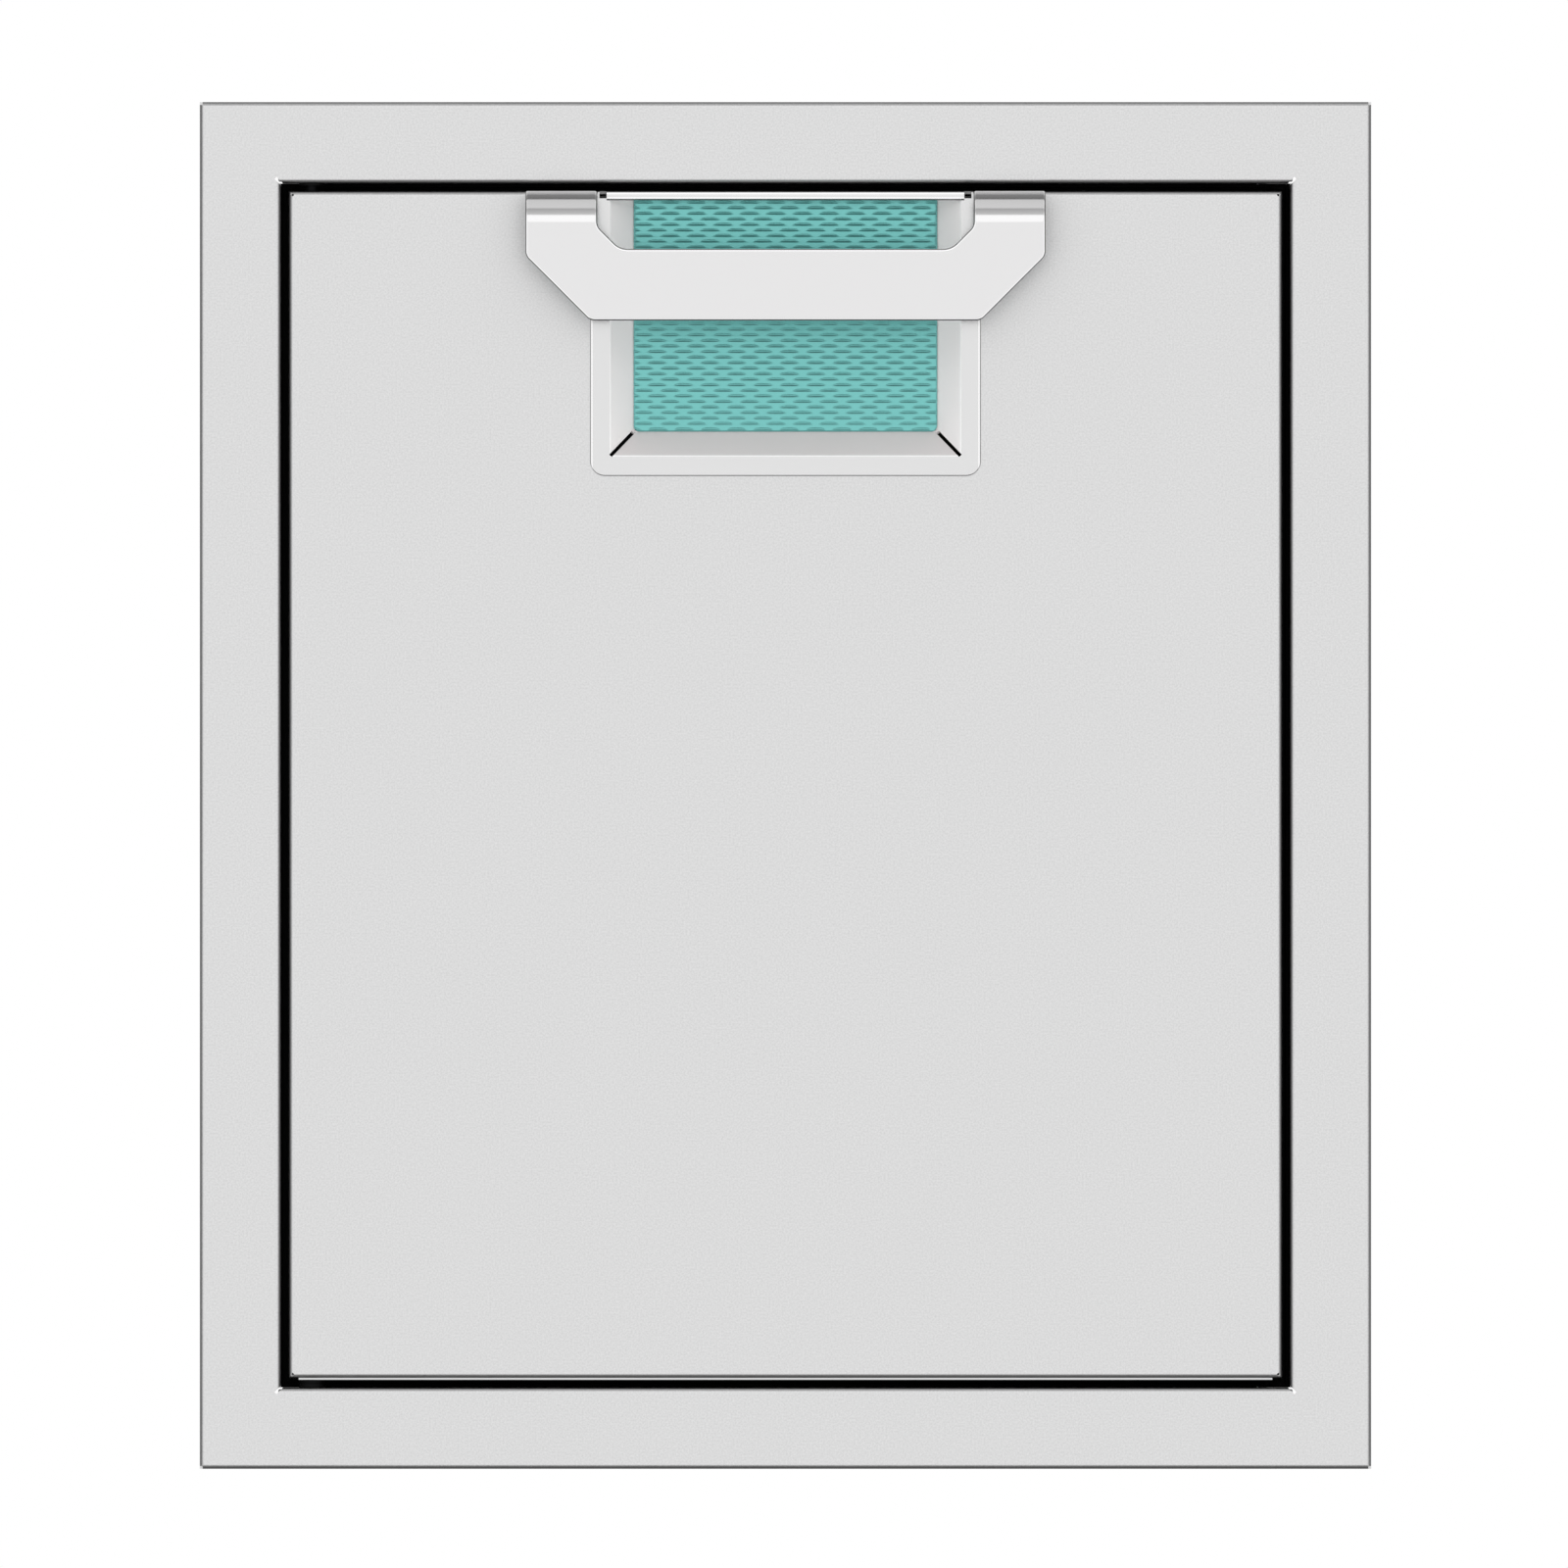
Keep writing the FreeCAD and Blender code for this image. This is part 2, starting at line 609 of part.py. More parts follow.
def lower_pivot_bush():
    """Flanged bush that turns on the lower pin."""
    seat = -OPEN_Z + BOTTOM_GAP
    top = DOOR_BOTTOM + SHEET + LOWER_BLOCK_HEIGHT
    bush = rod_z(HINGE_X, HINGE_Y, seat, top, BUSH_RADIUS)
    bush = bush.fuse(rod_z(HINGE_X, HINGE_Y, seat - BUSH_FLANGE, seat, BUSH_FLANGE_RADIUS))
    bore = rod_z(HINGE_X, HINGE_Y, seat - BUSH_FLANGE, top, PIN_RADIUS + RUNNING_CLEARANCE)
    return bush.cut(bore)


def upper_hinge_pin():
    """Sprung pin with a collar for the spring and a groove for the clip."""
    top = SLEEVE_Z + UPPER_PIN_ENTRY
    low = SPRING_BOTTOM - SEAT_SHEET - UPPER_PIN_TAIL
    pin = rod_z(HINGE_X, HINGE_Y, low, top, PIN_RADIUS)
    pin = pin.makeChamfer(PIN_CHAMFER, edges_where(pin, lambda p: at(p.z, top)))
    pin = pin.fuse(rod_z(HINGE_X, HINGE_Y, COLLAR_Z, COLLAR_Z + COLLAR, COLLAR_RADIUS))
    groove_z = LEVER_Z + LEVER_PLATE
    groove = rod_z(HINGE_X, HINGE_Y, groove_z, groove_z + CLIP_PLATE, PIN_RADIUS + CUT_MARGIN)
    core = rod_z(HINGE_X, HINGE_Y, groove_z, groove_z + CLIP_PLATE, PIN_RADIUS - CLIP_GROOVE)
    return pin.cut(groove.cut(core))


def pin_lever():
    """Flat lever on the pin, with a thumb tab that comes out through the back of the door."""
    near_x = LEVER_X - LEVER_WIDTH / 2
    far_x = LEVER_X + LEVER_WIDTH / 2
    corners = [
        V(near_x, HINGE_Y + LEVER_WIDTH / 2),
        V(HINGE_X, HINGE_Y + LEVER_WIDTH / 2),
        V(HINGE_X, HINGE_Y - LEVER_WIDTH / 2),
        V(far_x, HINGE_Y - LEVER_WIDTH / 2),
        V(far_x, LEVER_BACK),
        V(near_x, LEVER_BACK),
    ]
    radii = [LEVER_BEND / 2, 0, 0, LEVER_BEND, 0, 0]
    top = LEVER_Z + LEVER_PLATE
    lever = upright(Part.Face(rounded_outline(corners, radii)), LEVER_Z, top)
    lever = lever.fuse(rod_z(HINGE_X, HINGE_Y, LEVER_Z, top, COLLAR_RADIUS))
    tab = block((near_x, far_x), (LEVER_BACK - LEVER_PLATE, LEVER_BACK), (top - LEVER_PAD, top))
    tip = [
        edge
        for edge in edges_where(tab, lambda p: at(p.z, top - LEVER_PAD))
        if at(edge.Vertexes[0].X, edge.Vertexes[1].X)
    ]
    tab = tab.makeFillet(LEVER_TIP_RADIUS, tip)
    lever = lever.fuse(tab).removeSplitter()
    return lever.cut(rod_z(HINGE_X, HINGE_Y, LEVER_Z, top, PIN_RADIUS + RUNNING_CLEARANCE))


def pin_clip():
    """Open spring clip in the groove of the pin, above the lever."""
    low = LEVER_Z + LEVER_PLATE
    clip = rod_z(HINGE_X, HINGE_Y, low, low + CLIP_PLATE, CLIP_RADIUS)
    core = PIN_RADIUS - CLIP_GROOVE + RUNNING_CLEARANCE
    clip = clip.cut(rod_z(HINGE_X, HINGE_Y, low, low + CLIP_PLATE, core))
    mouth = block((0, CLIP_RADIUS + CUT_MARGIN), (-CLIP_MOUTH / 2, CLIP_MOUTH / 2), (low, low + CLIP_PLATE))
    mouth.translate(V(HINGE_X, HINGE_Y, 0))
    return clip.cut(mouth)


def pin_spring():
    """Spring of square wire, coiled between its seat and the collar of the pin."""
    pitch = (SPRING_LENGTH - SPRING_WIRE - 4 * RUNNING_CLEARANCE) / SPRING_TURNS
    helix = Part.makeHelix(pitch, pitch * SPRING_TURNS, SPRING_RADIUS)
    along = V(0, SPRING_RADIUS, pitch / (2 * math.pi)).normalize()
    outward = V(1, 0, 0)
    across = along.cross(outward)
    half = SPRING_WIRE / 2
    sides = [(-half, -half), (half, -half), (half, half), (-half, half), (-half, -half)]
    section = [outward * (SPRING_RADIUS + out) + across * up for out, up in sides]
    spring = Part.Wire(helix).makePipeShell([Part.makePolygon(section)], True, True)
    spring.translate(V(HINGE_X, HINGE_Y, SPRING_BOTTOM + half + 2 * RUNNING_CLEARANCE))
    return spring


def spring_seat():
    """Small angle on the side of the door that holds the lower end of the spring."""
    x_low = -DOOR_X + SHEET
    corners = [
        V(x_low, SPRING_BOTTOM - SEAT_DROP),
        V(x_low, SPRING_BOTTOM),
        V(x_low + PIVOT_BLOCK_WIDTH, SPRING_BOTTOM),
    ]
    profile = folded_section(corners, -1, SEAT_SHEET, SEAT_BEND)
    y_low = HINGE_Y - SEAT_FORWARD
    y_high = HINGE_Y + SEAT_BACK
    turned = FreeCAD.Rotation(V(1, 0, 0), V(0, 0, 1), V(0, -1, 0), "XYZ")
    profile.Placement = FreeCAD.Placement(V(0, y_high, 0), turned)
    seat = profile.extrude(V(0, y_low - y_high, 0))
    hole = PIN_RADIUS + HOLE_CLEARANCE
    return seat.cut(rod_z(HINGE_X, HINGE_Y, SPRING_BOTTOM - SEAT_BEND, SPRING_BOTTOM + CUT_MARGIN, hole))


# Door panel


def tray_cutout(margin):
    """Space that the pocket of the tray takes in the door, widened by a margin."""
    wall = TRAY_SHEET + margin
    half_x = MOUTH_X + wall
    depth = (FRONT_Y - CUT_MARGIN, FLOOR_Y + wall)
    return block((-half_x, half_x), depth, (MOUTH_BOTTOM - wall, MOUTH_TOP + wall))


def door_skin():
    """Front pan of the door: four returns, three rear lips and the opening for the tray."""
    body = block((-DOOR_X, DOOR_X), (FRONT_Y, SKIN_BACK), (DOOR_BOTTOM, DOOR_TOP))
    rim = edges_where(body, lambda p: at(p.y, FRONT_Y))
    back_rim = lipped_edges(body, SKIN_BACK, DOOR_TOP)
    body = body.makeFillet(BEND_RADIUS, rim + back_rim)
    back_y = FRONT_Y + SHEET
    lip_y = SKIN_BACK - SHEET
    inner_x = DOOR_X - SHEET
    hollow = block((-inner_x, inner_x), (back_y, lip_y), (DOOR_BOTTOM + SHEET, DOOR_TOP - SHEET))
    front_fold = edges_where(hollow, lambda p: at(p.y, back_y))
    rear_fold = lipped_edges(hollow, lip_y, DOOR_TOP - SHEET)
    hollow = hollow.makeFillet(BEND_RADIUS - SHEET, front_fold + rear_fold)
    skin = body.cut(hollow)
    open_x = DOOR_X - DOOR_LIP
    open_y = (lip_y - BEND_RADIUS, SKIN_BACK + CUT_MARGIN)
    skin = skin.cut(block((-open_x, open_x), open_y, (DOOR_BOTTOM + SHEET, DOOR_TOP - DOOR_LIP)))
    short_z = (DOOR_BOTTOM, DOOR_BOTTOM + BEND_RADIUS)
    skin = skin.cut(block((-DOOR_X, DOOR_X), (lip_y, SKIN_BACK + CUT_MARGIN), short_z))
    cutters = [tray_cutout(HOLE_CLEARANCE), lip_notch(-1), lip_notch(1)]
    screw_hole = HANDLE_SCREW_RADIUS + HOLE_CLEARANCE
    for x, z in handle_screw_places():
        cutters.append(rod_y(x, z, FRONT_Y - CUT_MARGIN, back_y + CUT_MARGIN, screw_hole))
    for x in (-DOOR_X + CORNER_DOT_INSET, DOOR_X - CORNER_DOT_INSET):
        for z in (DOOR_BOTTOM + CORNER_DOT_INSET, DOOR_TOP - CORNER_DOT_INSET):
            cutters.append(rod_y(x, z, FRONT_Y - CUT_MARGIN, back_y + BEND_RADIUS, CORNER_DOT_RADIUS))
    liner_hole = LINER_SCREW_RADIUS + RUNNING_CLEARANCE
    for x, z in liner_screw_places():
        cutters.append(rod_y(x, z, lip_y - CUT_MARGIN, SKIN_BACK + CUT_MARGIN, liner_hole))
    top_hole = PIN_RADIUS + HOLE_CLEARANCE
    cutters.append(rod_z(HINGE_X, HINGE_Y, DOOR_TOP - SHEET - CUT_MARGIN, DOOR_TOP + CUT_MARGIN, top_hole))
    low_end = (DOOR_BOTTOM - CUT_MARGIN, DOOR_BOTTOM + SHEET + CUT_MARGIN)
    cutters.append(rod_z(HINGE_X, HINGE_Y, *low_end, BUSH_HOLE_RADIUS))
    return skin.cut(Part.makeCompound(cutters))


def lipped_edges(shape, y, top):
    """Rear edges of a block on the three sides that have a lip: left, right and top."""
    rear = edges_where(shape, lambda p: at(p.y, y))
    return [edge for edge in rear if any(at(vertex.Z, top) for vertex in edge.Vertexes)]


def liner_screw_places():
    """Centres of the screws that hold the liner to the lips of the skin, as (x, z)."""
    edge_x = DOOR_X - LINER_SCREW_EDGE
    low = DOOR_BOTTOM + LINER_SCREW_END
    high = DOOR_TOP - LINER_SCREW_END
    places = []
    for index in range(LINER_SCREWS_SIDE):
        z = low + (high - low) * index / (LINER_SCREWS_SIDE - 1)
        places += [(-edge_x, z), (edge_x, z)]
    half = DOOR_X - LINER_SCREW_END
    for index in range(LINER_SCREWS_TOP):
        x = -half + 2 * half * index / (LINER_SCREWS_TOP - 1)
        places.append((x, DOOR_TOP - LINER_SCREW_EDGE))
    return places


def screw_cone(x, z):
    """Countersunk head of a liner screw, flush with the back of the liner."""
    taper = LINER_SCREW_HEAD_RADIUS - LINER_SCREW_RADIUS
    return Part.makeCone(LINER_SCREW_HEAD_RADIUS, LINER_SCREW_RADIUS, taper, V(x, DOOR_BACK, z), V(0, -1, 0))


def door_liner():
    """Back panel of the door. Its flange laps under the skin and shows as a fine edge."""
    low = DOOR_BOTTOM - SHEET
    side_x = DOOR_X - LINER_INSET
    corners = [
        V(FRONT_Y + LINER_FLANGE_SETBACK, low),
        V(DOOR_BACK, low),
        V(DOOR_BACK, DOOR_TOP - LINER_INSET),
    ]
    liner = level(folded_section(corners, 1, SHEET, BEND_RADIUS), -side_x, side_x)
    flange_x = DOOR_X - LINER_FLANGE_INSET
    cutters = []
    for way in (-1, 1):
        trim_x = (way * flange_x, way * (side_x + CUT_MARGIN))
        cutters.append(block(trim_x, (FRONT_Y, SKIN_BACK), (low - CUT_MARGIN, DOOR_BOTTOM)))
    liner_hole = LINER_SCREW_RADIUS + RUNNING_CLEARANCE
    for x, z in liner_screw_places():
        cutters.append(rod_y(x, z, SKIN_BACK - CUT_MARGIN, DOOR_BACK, liner_hole))
        cutters.append(screw_cone(x, z))
    for x, z in strike_rivet_places():
        cutters.append(rod_y(x, z, SKIN_BACK - CUT_MARGIN, DOOR_BACK + CUT_MARGIN, STRIKE_RIVET_RADIUS))
    cutters.append(rod_z(HINGE_X, HINGE_Y, low - CUT_MARGIN, DOOR_BOTTOM + CUT_MARGIN, BUSH_HOLE_RADIUS))
    slot_x = LEVER_WIDTH / 2 + LEVER_SLOT_CLEARANCE
    cutters.append(
        block(
            (LEVER_X - slot_x, LEVER_X + slot_x),
            (SKIN_BACK - CUT_MARGIN, DOOR_BACK + CUT_MARGIN),
            (LEVER_Z - PIN_TRAVEL - LEVER_SLOT_CLEARANCE, LEVER_Z + LEVER_PLATE + LEVER_SLOT_CLEARANCE),
        )
    )
    return liner.cut(Part.makeCompound(cutters))


def liner_screws():
    """Countersunk screws through the liner into the lips of the skin."""
    screws = []
    for x, z in liner_screw_places():
        shank = rod_y(x, z, SKIN_BACK - SHEET - LINER_SCREW_TIP, DOOR_BACK - SHEET / 2, LINER_SCREW_RADIUS)
        screws.append(shank.fuse(screw_cone(x, z)).removeSplitter())
    return screws


def channel(centre_x):
    """Lipped channel between the skin and the liner."""
    front = FRONT_Y + SHEET
    half = CHANNEL_WIDTH / 2
    corners = [
        V(centre_x + half - CHANNEL_LIP, SKIN_BACK),
        V(centre_x + half, SKIN_BACK),
        V(centre_x + half, front),
        V(centre_x - half, front),
        V(centre_x - half, SKIN_BACK),
        V(centre_x - half + CHANNEL_LIP, SKIN_BACK),
    ]
    section = folded_section(corners, -1, SHEET, BEND_RADIUS)
    low = DOOR_BOTTOM + SHEET + CHANNEL_END_CLEARANCE
    high = DOOR_TOP - DOOR_LIP - CHANNEL_END_CLEARANCE
    return upright(section, low, high)


# Pull tray


def lip_notch(way):
    """Relief at one end of the tray's lip, cut through the tray and the door's top fold."""
    x_limits = (way * LIP_LENGTH / 2, way * (LIP_LENGTH / 2 + LIP_NOTCH))
    depth = (BEZEL_FRONT - CUT_MARGIN, FRONT_Y + LIP_NOTCH_DEPTH)
    return block(x_limits, depth, (MOUTH_TOP, DOOR_TOP + CUT_MARGIN))


def pocket_frustum(wall, front, back):
    """Tapered block that fills the pocket, widened by a wall, between two depths."""

    def limits(y):
        share = (y - BEZEL_FRONT) / POCKET_DEPTH
        side = MOUTH_X - POCKET_SIDE_SLOPE * share + wall
        low = MOUTH_BOTTOM + POCKET_BOTTOM_SLOPE * share - wall
        return side, low

    near_x, near_low = limits(front)
    far_x, far_low = limits(back)
    high = MOUTH_TOP + wall
    return Part.makeWedge(-near_x, front, near_low, far_low, -far_x, near_x, back, high, high, far_x)


def pull_tray():
    """Folded tray: a flat bezel, a pocket with three sloping walls and a rolled top lip.

    The bezel rolls into the walls over a small radius, and the walls meet in open seams at
    the two lower corners.
    """
    half_x = TRAY_WIDTH / 2
    corners = [
        V(-half_x, 0, TRAY_BOTTOM),
        V(half_x, 0, TRAY_BOTTOM),
        V(half_x, 0, TRAY_TOP),
        V(-half_x, 0, TRAY_TOP),
    ]
    face = Part.Face(rounded_outline(corners, [TRAY_CORNER, TRAY_CORNER, 0, 0]))
    face.translate(V(0, BEZEL_FRONT, 0))
    bezel = face.extrude(V(0, TRAY_SHEET, 0))
    bezel = bezel.makeFillet(BEZEL_EDGE, front_edges_below(bezel, half_x, TRAY_TOP))
    tray = bezel.fuse(pocket_frustum(TRAY_SHEET, FRONT_Y - TRAY_SHEET / 2, FLOOR_Y + TRAY_SHEET))
    tray = tray.cut(pocket_frustum(0, BEZEL_FRONT - CUT_MARGIN, FLOOR_Y))
    tray = tray.makeFillet(MOUTH_BEND, front_edges_below(tray, MOUTH_X, MOUTH_TOP))
    lip_x = LIP_LENGTH / 2
    lip = block((-lip_x, lip_x), (BEZEL_FRONT - LIP_PROUD, BEZEL_FRONT + TRAY_SHEET), (MOUTH_TOP, TRAY_TOP))
    roll = edges_where(lip, lambda p: at(p.y, BEZEL_FRONT - LIP_PROUD) and at(abs(p.x), lip_x))
    roll = [edge for edge in roll if edge.Length > LIP_LENGTH / 2]
    lip = lip.makeFillet(LIP_ROLL, roll)
    tray = tray.fuse(lip).removeSplitter()
    cutters = []
    notch_y = (BEZEL_FRONT - CUT_MARGIN, FRONT_Y + CUT_MARGIN)
    for way in (-1, 1):
        cutters.append(lip_notch(way))
        foot_x = (way * (HANDLE_WIDTH / 2 - HANDLE_STRIP - PART_CLEARANCE), way * (half_x + CUT_MARGIN))
        cutters.append(block(foot_x, notch_y, (FOOT_BOTTOM - PART_CLEARANCE, TRAY_TOP + CUT_MARGIN)))
        cutters.append(seam_cutter(way))
    return tray.cut(Part.makeCompound(cutters))


def front_edges_below(shape, half_x, top):
    """Edges of the bezel's front face within a width, other than the one along the top."""
    edges = edges_where(shape, lambda p: at(p.y, BEZEL_FRONT) and abs(p.x) < half_x + PART_CLEARANCE)
    within = [edge for edge in edges if edge.BoundBox.ZMax < top + PART_CLEARANCE]
    return [edge for edge in within if not at(edge.BoundBox.ZMin, top)]


def seam_cutter(way):
    """Thin wedge along the corner where a side wall of the pocket meets the bottom wall."""
    mouth = V(way * MOUTH_X, BEZEL_FRONT, MOUTH_BOTTOM)
    floor = V(way * FLOOR_X, FLOOR_Y, FLOOR_BOTTOM)
    along = (floor - mouth).normalize()
    across = V(0, -1, 0).cross(along).normalize()
    outward = along.cross(across).normalize()
    half = across * (POCKET_SEAM / 2)
    depth = outward * (4 * TRAY_SHEET)
    start = mouth - half - depth
    corners = [start, start + half * 2, start + half * 2 + depth * 2, start + depth * 2]
    face = Part.Face(Part.makePolygon(corners + corners[:1]))
    return face.extrude(floor - mouth)


def pull_insert():
    """Coloured sheet glued to the floor of the pocket, with its lower corners rounded."""
    half_x = FLOOR_X - INSERT_CLEARANCE
    low = FLOOR_BOTTOM + INSERT_CLEARANCE
    high = MOUTH_TOP - INSERT_CLEARANCE
    corners = [V(-half_x, 0, low), V(half_x, 0, low), V(half_x, 0, high), V(-half_x, 0, high)]
    face = Part.Face(rounded_outline(corners, [INSERT_CORNER, INSERT_CORNER, 0, 0]))
    face.translate(V(0, FLOOR_Y, 0))
    return face.extrude(V(0, -INSERT_SHEET, 0))


# Handle


def handle_outline():
    """Front view of the handle: two arms and a bar, with the corners cut at 45 degrees."""
    outer = HANDLE_WIDTH / 2
    inner = outer - HANDLE_STRIP
    low = HANDLE_BOTTOM
    bar_top = HANDLE_BOTTOM + HANDLE_STRIP
    half = [
        V(outer - OUTER_CHAMFER, 0, low),
        V(outer, 0, low + OUTER_CHAMFER),
        V(outer, 0, HANDLE_TOP),
        V(inner, 0, HANDLE_TOP),
        V(inner, 0, bar_top + INNER_CHAMFER),
        V(inner - INNER_CHAMFER, 0, bar_top),
    ]
    radii = [OUTER_FILLET, OUTER_FILLET, 0, 0, INNER_FILLET, INNER_FILLET]
    other = [V(-p.x, 0, p.z) for p in reversed(half)]
    return rounded_outline(half + other, radii + radii[::-1])


def handle():
    """One plate: a bar, two arms that bend back to the door and a foot behind each arm."""
    corners = [
        V(HANDLE_FRONT, HANDLE_BOTTOM),
        V(HANDLE_FRONT, HANDLE_TOP),
        V(FRONT_Y, HANDLE_TOP),
        V(FRONT_Y, FOOT_BOTTOM),
    ]
    profile = two_radius_section(corners, HANDLE_PLATE, (HANDLE_FRONT_BEND, HANDLE_REAR_BEND))
    half = HANDLE_WIDTH / 2
    bent = level(profile, -half, half)
    face = Part.Face(handle_outline())
    face.translate(V(0, HANDLE_FRONT - CUT_MARGIN, 0))
    cutter = face.extrude(V(0, HANDLE_STANDOFF + 2 * CUT_MARGIN, 0))
    between = half - HANDLE_STRIP
    rear_y = (HANDLE_FRONT + HANDLE_FRONT_BEND, FRONT_Y + CUT_MARGIN)
    plate = bent.common(cutter).cut(block((-between, between), rear_y, (HANDLE_BOTTOM, HANDLE_TOP)))
    holes = []
    for x, z in handle_screw_places():
        reach = FRONT_Y - HANDLE_SCREW_GRIP - PART_CLEARANCE
        holes.append(rod_y(x, z, reach, FRONT_Y + CUT_MARGIN, HANDLE_SCREW_RADIUS + RUNNING_CLEARANCE))
    plate = plate.cut(Part.makeCompound(holes))
    front_edges = edges_where(plate, lambda p: p.y < HANDLE_FRONT + HANDLE_PLATE / 2)
    return plate.makeChamfer(HANDLE_EDGE, front_edges)


def two_radius_section(corners, sheet, bends):
    """Folded section whose two folds have different outside radii."""
    middle = (corners[1] + corners[2]) * 0.5
    first = folded_section([corners[0], corners[1], middle], -1, sheet, bends[0])
    second = folded_section([middle, corners[2], corners[3]], -1, sheet, bends[1])
    return first.fuse(second).removeSplitter().Faces[0]


def handle_screw_places():
    """Centres of the screws behind the arms, as (x, z)."""
    step = HANDLE_SCREW_PITCH / 2
    return [(x, FOOT_SCREW_Z + way * step) for x in (-ARM_X, ARM_X) for way in (-1, 1)]


def handle_backplate():
    """Plate inside the door that spreads the pull of one arm."""
    front = FRONT_Y + SHEET
    half_x = HANDLE_STRIP / 2
    half_z = BACKPLATE_HEIGHT / 2
    plate = block((ARM_X - half_x, ARM_X + half_x), (front, front + BACKPLATE_THICKNESS), (-half_z, half_z))
    plate.translate(V(0, 0, FOOT_SCREW_Z))
    corner = [edge for edge in plate.Edges if at(edge.Length, BACKPLATE_THICKNESS)]
    plate = plate.makeChamfer(BACKPLATE_CORNER, corner)
    for x, z in handle_screw_places():
        hole = HANDLE_SCREW_RADIUS + HOLE_CLEARANCE
        plate = plate.cut(rod_y(x, z, front - CUT_MARGIN, front + BACKPLATE_THICKNESS + CUT_MARGIN, hole))
    return plate


def handle_screws():
    """Cheese head screws from inside the door into the feet of the handle."""
    head_y = FRONT_Y + SHEET + BACKPLATE_THICKNESS
    screws = []
    for x, z in handle_screw_places():
        head = rod_y(x, z, head_y, head_y + HANDLE_SCREW_HEAD, HANDLE_SCREW_HEAD_RADIUS)
        screws.append(head.fuse(rod_y(x, z, FRONT_Y - HANDLE_SCREW_GRIP, head_y, HANDLE_SCREW_RADIUS)))
    return screws


# Catches


def strike_rivet_places():
    """Centres of the rivets of the two strike plates, as (x, z)."""
    step = STRIKE_RIVET_PITCH / 2
    return [(CATCH_X, way * CATCH_HEIGHT + side * step) for way in (-1, 1) for side in (-1, 1)]


def strike_plates():
    """Two steel plates on the back of the door that the magnets hold."""
    half_x = STRIKE_WIDTH / 2
    half_z = STRIKE_LENGTH / 2
    plates = []
    for way in (-1, 1):
        plate = block((CATCH_X - half_x, CATCH_X + half_x), (DOOR_BACK, STRIKE_BACK), (-half_z, half_z))
        corner = [edge for edge in plate.Edges if at(edge.Length, STRIKE_PLATE)]
        plate = plate.makeChamfer(STRIKE_CORNER, corner)
        plate.translate(V(0, 0, way * CATCH_HEIGHT))
        through = (DOOR_BACK - CUT_MARGIN, STRIKE_BACK + CUT_MARGIN)
        for x, z in strike_rivet_places():
            plate = plate.cut(rod_y(x, z, *through, STRIKE_RIVET_RADIUS))
        plates.append(plate)
    return plates


def strike_rivets():
    """Low headed rivets through the strike plates, set flush inside the liner."""
    rivets = []
    for x, z in strike_rivet_places():
        shank = rod_y(x, z, SKIN_BACK, STRIKE_BACK, STRIKE_RIVET_RADIUS)
        head = rod_y(x, z, STRIKE_BACK, STRIKE_BACK + STRIKE_RIVET_HEAD, STRIKE_RIVET_HEAD_RADIUS)
        rivets.append(shank.fuse(head))
    return rivets


def catch_pair(make):
    """The same piece at the upper and the lower catch."""
    pieces = []
    for way in (-1, 1):
        piece = make()
        piece.translate(V(0, 0, way * CATCH_HEIGHT))
        pieces.append(piece)
    return pieces


def catch_housing():
    """Rounded housing with a pocket in front for the magnet and its pole plates."""
    half_x = HOUSING_WIDTH / 2
    half_z = HOUSING_LENGTH / 2
    body = block((CATCH_X - half_x, CATCH_X + half_x), (HOUSING_FRONT, HOUSING_BACK), (-half_z, half_z))
    body = body.makeFillet(HOUSING_EDGE, edges_where(body, lambda p: at(p.y, HOUSING_FRONT)))
    pocket_x = MAGNET_WIDTH / 2 + POLE_PLATE + RUNNING_CLEARANCE
    pocket_z = MAGNET_LENGTH / 2 + RUNNING_CLEARANCE
    pocket_y = (HOUSING_FRONT - CUT_MARGIN, POLE_FRONT + POLE_DEPTH)
    body = body.cut(block((CATCH_X - pocket_x, CATCH_X + pocket_x), pocket_y, (-pocket_z, pocket_z)))
    for z in catch_screw_heights():
        depth = BRACKET_BACK - CATCH_SCREW_LENGTH - PART_CLEARANCE
        radius = CATCH_SCREW_RADIUS + RUNNING_CLEARANCE
        body = body.cut(rod_y(CATCH_X, z, depth, HOUSING_BACK + CUT_MARGIN, radius))
    return body


def catch_magnet():
    """Bar magnet between the two pole plates, set a little behind their edges."""
    half_x = MAGNET_WIDTH / 2
    half_z = MAGNET_LENGTH / 2
    y_limits = (POLE_FRONT + MAGNET_SETBACK, POLE_FRONT + POLE_DEPTH)
    return block((CATCH_X - half_x, CATCH_X + half_x), y_limits, (-half_z, half_z))


def pole_plates():
    """Four pole plates, two at each catch, whose front edges meet the strike."""
    half_z = MAGNET_LENGTH / 2
    plates = []
    for way in (-1, 1):
        near = CATCH_X + way * MAGNET_WIDTH / 2
        far = near + way * POLE_PLATE
        y_limits = (POLE_FRONT, POLE_FRONT + POLE_DEPTH)
        plates += catch_pair(lambda: block((near, far), y_limits, (-half_z, half_z)))
    return plates


def catch_bracket():
    """Angle welded to the latch side stop, which carries a housing."""
    corners = [
        V(CATCH_X - HOUSING_WIDTH / 2, HOUSING_BACK),
        V(OPEN_X, HOUSING_BACK),
        V(OPEN_X, STOP_Y + STOP_LEG),
    ]
    section = folded_section(corners, 1, BRACKET_PLATE, BRACKET_BEND)
    half_z = HOUSING_LENGTH / 2
    bracket = upright(section, -half_z, half_z)
    for z in catch_screw_heights():
        hole = CATCH_SCREW_RADIUS + HOLE_CLEARANCE
        bracket = bracket.cut(rod_y(CATCH_X, z, HOUSING_BACK - CUT_MARGIN, BRACKET_BACK + CUT_MARGIN, hole))
    return bracket


